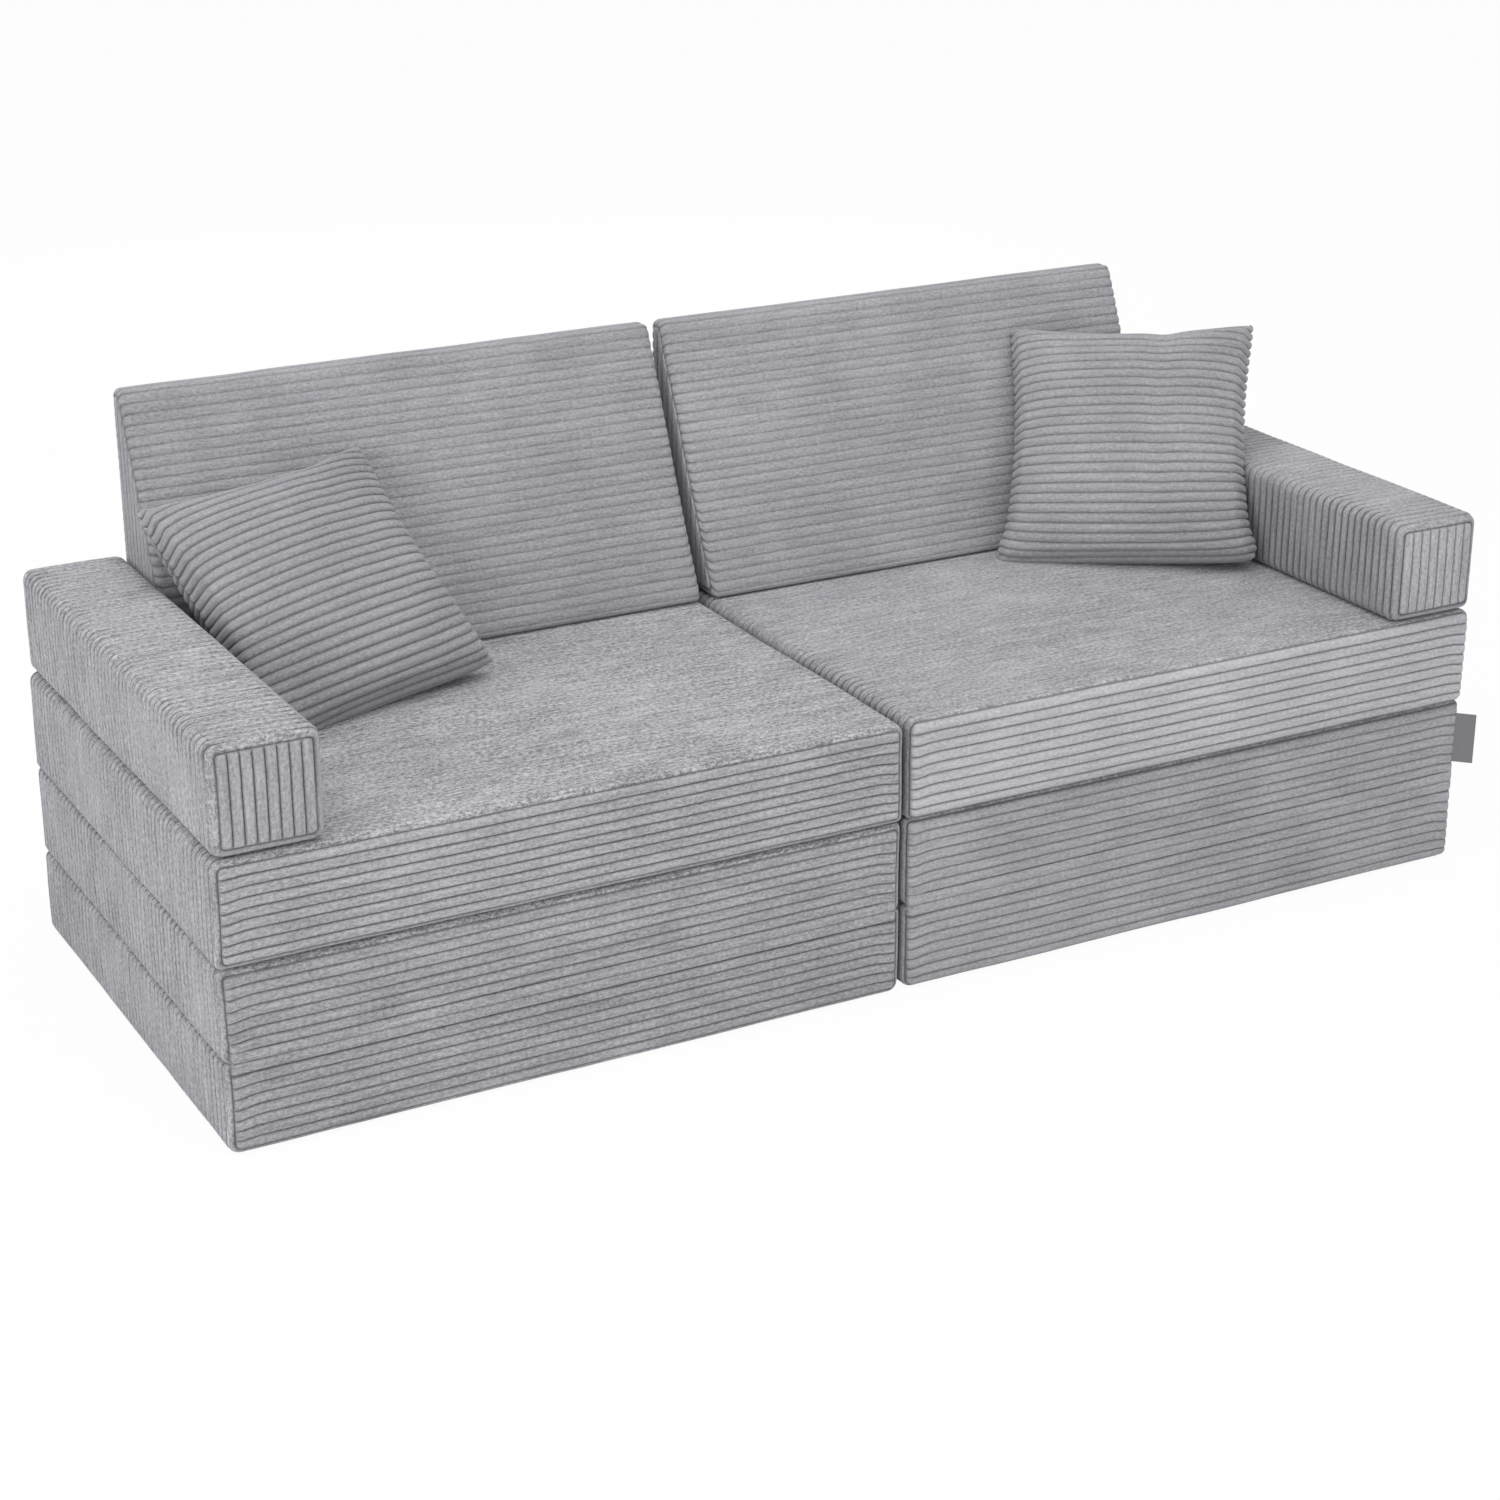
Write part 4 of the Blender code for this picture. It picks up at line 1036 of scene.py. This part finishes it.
for name, (ending, pattern, settings, output, colours, roughness, raised) in matt.items():
    finishes[ending], tree, shader = newMaterial(name, {"Roughness": roughness})
    place = addNode(tree, "ShaderNodeTexCoord").outputs["Object"]
    level = addNode(tree, pattern, settings, {"Vector": place}).outputs[output]
    colour = addNode(tree, "ShaderNodeValToRGB", {}, {"Fac": level})
    for element, text in zip(colour.color_ramp.elements, colours):
        element.color = srgb(text)
    tree.links.new(colour.outputs["Color"], shader.inputs["Base Color"])
    if raised:
        bump = addNode(tree, "ShaderNodeBump", {"Strength": raised[0], "Distance": raised[1]},
                       {"Height": level})
        tree.links.new(bump.outputs["Normal"], shader.inputs["Normal"])

# Nylon coil zip on woven polyester tape: grey teeth 1.4 mm apart, slightly glossy
finishes["_zip"], tree, shader = newMaterial("nylonCoilZip", {"Roughness": 0.5})
place = addNode(tree, "ShaderNodeTexCoord").outputs["Object"]
weave = addNode(tree, "ShaderNodeTexNoise", {"Scale": 900.0, "Detail": 1.0}, {"Vector": place}).outputs["Fac"]
teeth = addNode(tree, "ShaderNodeTexWave", {"Scale": 110.0, "Distortion": 0.0, "bands_direction": "DIAGONAL"},
                {"Vector": place}).outputs["Fac"]
level = addNode(tree, "ShaderNodeMix", {"data_type": "FLOAT", 0: 0.35}, {2: teeth, 3: weave}).outputs[0]
colour = addNode(tree, "ShaderNodeValToRGB", {}, {"Fac": level})
colour.color_ramp.elements[0].color, colour.color_ramp.elements[1].color = srgb("#4A4A4E"), srgb("#7E7E83")
tree.links.new(colour.outputs["Color"], shader.inputs["Base Color"])
bump = addNode(tree, "ShaderNodeBump", {"Strength": 0.6, "Distance": 0.0005}, {"Height": level})
tree.links.new(bump.outputs["Normal"], shader.inputs["Normal"])

# Nickel-plated zinc: die-cast, tumbled and plated, with fine handling marks
nickel = {"Base Color": srgb("#B9B7B2"), "Metallic": 1.0}
finishes["_slider"], tree, shader = newMaterial("nickelPlatedZinc", nickel)
place = addNode(tree, "ShaderNodeTexCoord").outputs["Object"]
marks = addNode(tree, "ShaderNodeTexNoise", {"Scale": 400.0, "Detail": 3.0}, {"Vector": place}).outputs["Fac"]
rough = addNode(tree, "ShaderNodeMapRange", {"To Min": 0.22, "To Max": 0.42}, {"Value": marks})
tree.links.new(rough.outputs["Result"], shader.inputs["Roughness"])

for name, node in nodes.items():
    for ending, material in finishes.items():
        if name.endswith(ending):
            node.data.materials.clear()
            node.data.materials.append(material)
print("materials made")

# Studio: white floor and sky for the camera, plain soft light from boxes, each with its place,
# target, width and height, and watts
studio = {"lens": 72.74, "yaw": 28.63, "pitch": 21.67, "place": (-1.539, -2.774, 1.436),
          "floorSize": 60.0, "floorDepth": 0.0005, "floorWhite": 0.95, "sky": 0.62,
          "lamps": {"overheadSoftbox": ((-0.4, -0.6, 2.6), (0, 0, 0.2), (2.6, 2.2), 33),
                    "leftSoftbox": ((-3.0, -1.2, 1.5), (0, 0, 0.3), (1.6, 1.8), 29),
                    "frontSoftbox": ((0.9, -3.2, 1.2), (0, 0, 0.3), (1.8, 1.6), 13),
                    "rearSoftbox": ((1.2, 3.4, 1.3), (0, 0, 0.3), (2.0, 1.6), 16)}}


def seenDirectly(tree):
    # 1 where the camera sees a surface, by itself, in a reflection or through glass, otherwise 0
    ray = addNode(tree, "ShaderNodeLightPath").outputs
    seen = ray["Is Camera Ray"]
    for kind in ("Is Glossy Ray", "Is Transmission Ray"):
        seen = addNode(tree, "ShaderNodeMath", {"operation": "MAXIMUM"}, {0: seen, 1: ray[kind]}).outputs[0]
    return seen


floorMesh = bpy.data.meshes.new("studioFloor")
reach = studio["floorSize"] / 2
corners = ((-reach, -reach), (reach, -reach), (reach, reach), (-reach, reach))
floorMesh.from_pydata([(x, y, -studio["floorDepth"]) for x, y in corners], [], [(0, 1, 2, 3)])
floor = bpy.data.objects.new("studioFloor", floorMesh)
scene.collection.objects.link(floor)
paper = bpy.data.materials.new("paperBackdrop")
paper.use_nodes = True
tree = paper.node_tree
tree.nodes.clear()
diffuse = addNode(tree, "ShaderNodeBsdfDiffuse", {"Color": srgb("#F4F4F4")})
white = addNode(tree, "ShaderNodeEmission", {"Color": (1, 1, 1, 1), "Strength": 1.0})
share = addNode(tree, "ShaderNodeMath", {"operation": "MULTIPLY", 1: studio["floorWhite"]},
                {0: seenDirectly(tree)})
mix = addNode(tree, "ShaderNodeMixShader", {},
              {0: share.outputs[0], 1: diffuse.outputs[0], 2: white.outputs[0]})
addNode(tree, "ShaderNodeOutputMaterial", {}, {"Surface": mix.outputs[0]})
floorMesh.materials.append(paper)

world = bpy.data.worlds.new("studioSky")
scene.world = world
world.use_nodes = True
tree = world.node_tree
tree.nodes.clear()
ambient = addNode(tree, "ShaderNodeBackground", {"Color": (1, 1, 1, 1), "Strength": studio["sky"]})
backdrop = addNode(tree, "ShaderNodeBackground", {"Color": (1, 1, 1, 1), "Strength": 1.0})
mix = addNode(tree, "ShaderNodeMixShader", {},
              {0: seenDirectly(tree), 1: ambient.outputs[0], 2: backdrop.outputs[0]})
addNode(tree, "ShaderNodeOutputWorld", {}, {"Surface": mix.outputs[0]})

for name, (place, target, size, watts) in studio["lamps"].items():
    lamp = bpy.data.lights.new(name, "AREA")
    lamp.shape = "RECTANGLE"
    lamp.size, lamp.size_y = size
    lamp.energy = watts
    holder = bpy.data.objects.new(name, lamp)
    scene.collection.objects.link(holder)
    holder.location = place
    holder.rotation_mode = "QUATERNION"
    holder.rotation_quaternion = (Vector(target) - Vector(place)).to_track_quat("-Z", "Y")

# The camera, fitted to the corners of the blocks in the photograph
eye = bpy.data.cameras.new("photoCamera")
eye.lens = studio["lens"]
eye.sensor_width = 36
eye.clip_end = 50
camera = bpy.data.objects.new("photoCamera", eye)
scene.collection.objects.link(camera)
camera.location = studio["place"]
camera.rotation_mode = "XYZ"
camera.rotation_euler = (math.radians(90 - studio["pitch"]), 0, math.radians(-studio["yaw"]))
scene.camera = camera
scene.view_settings.view_transform = "Standard"
print("studio made")
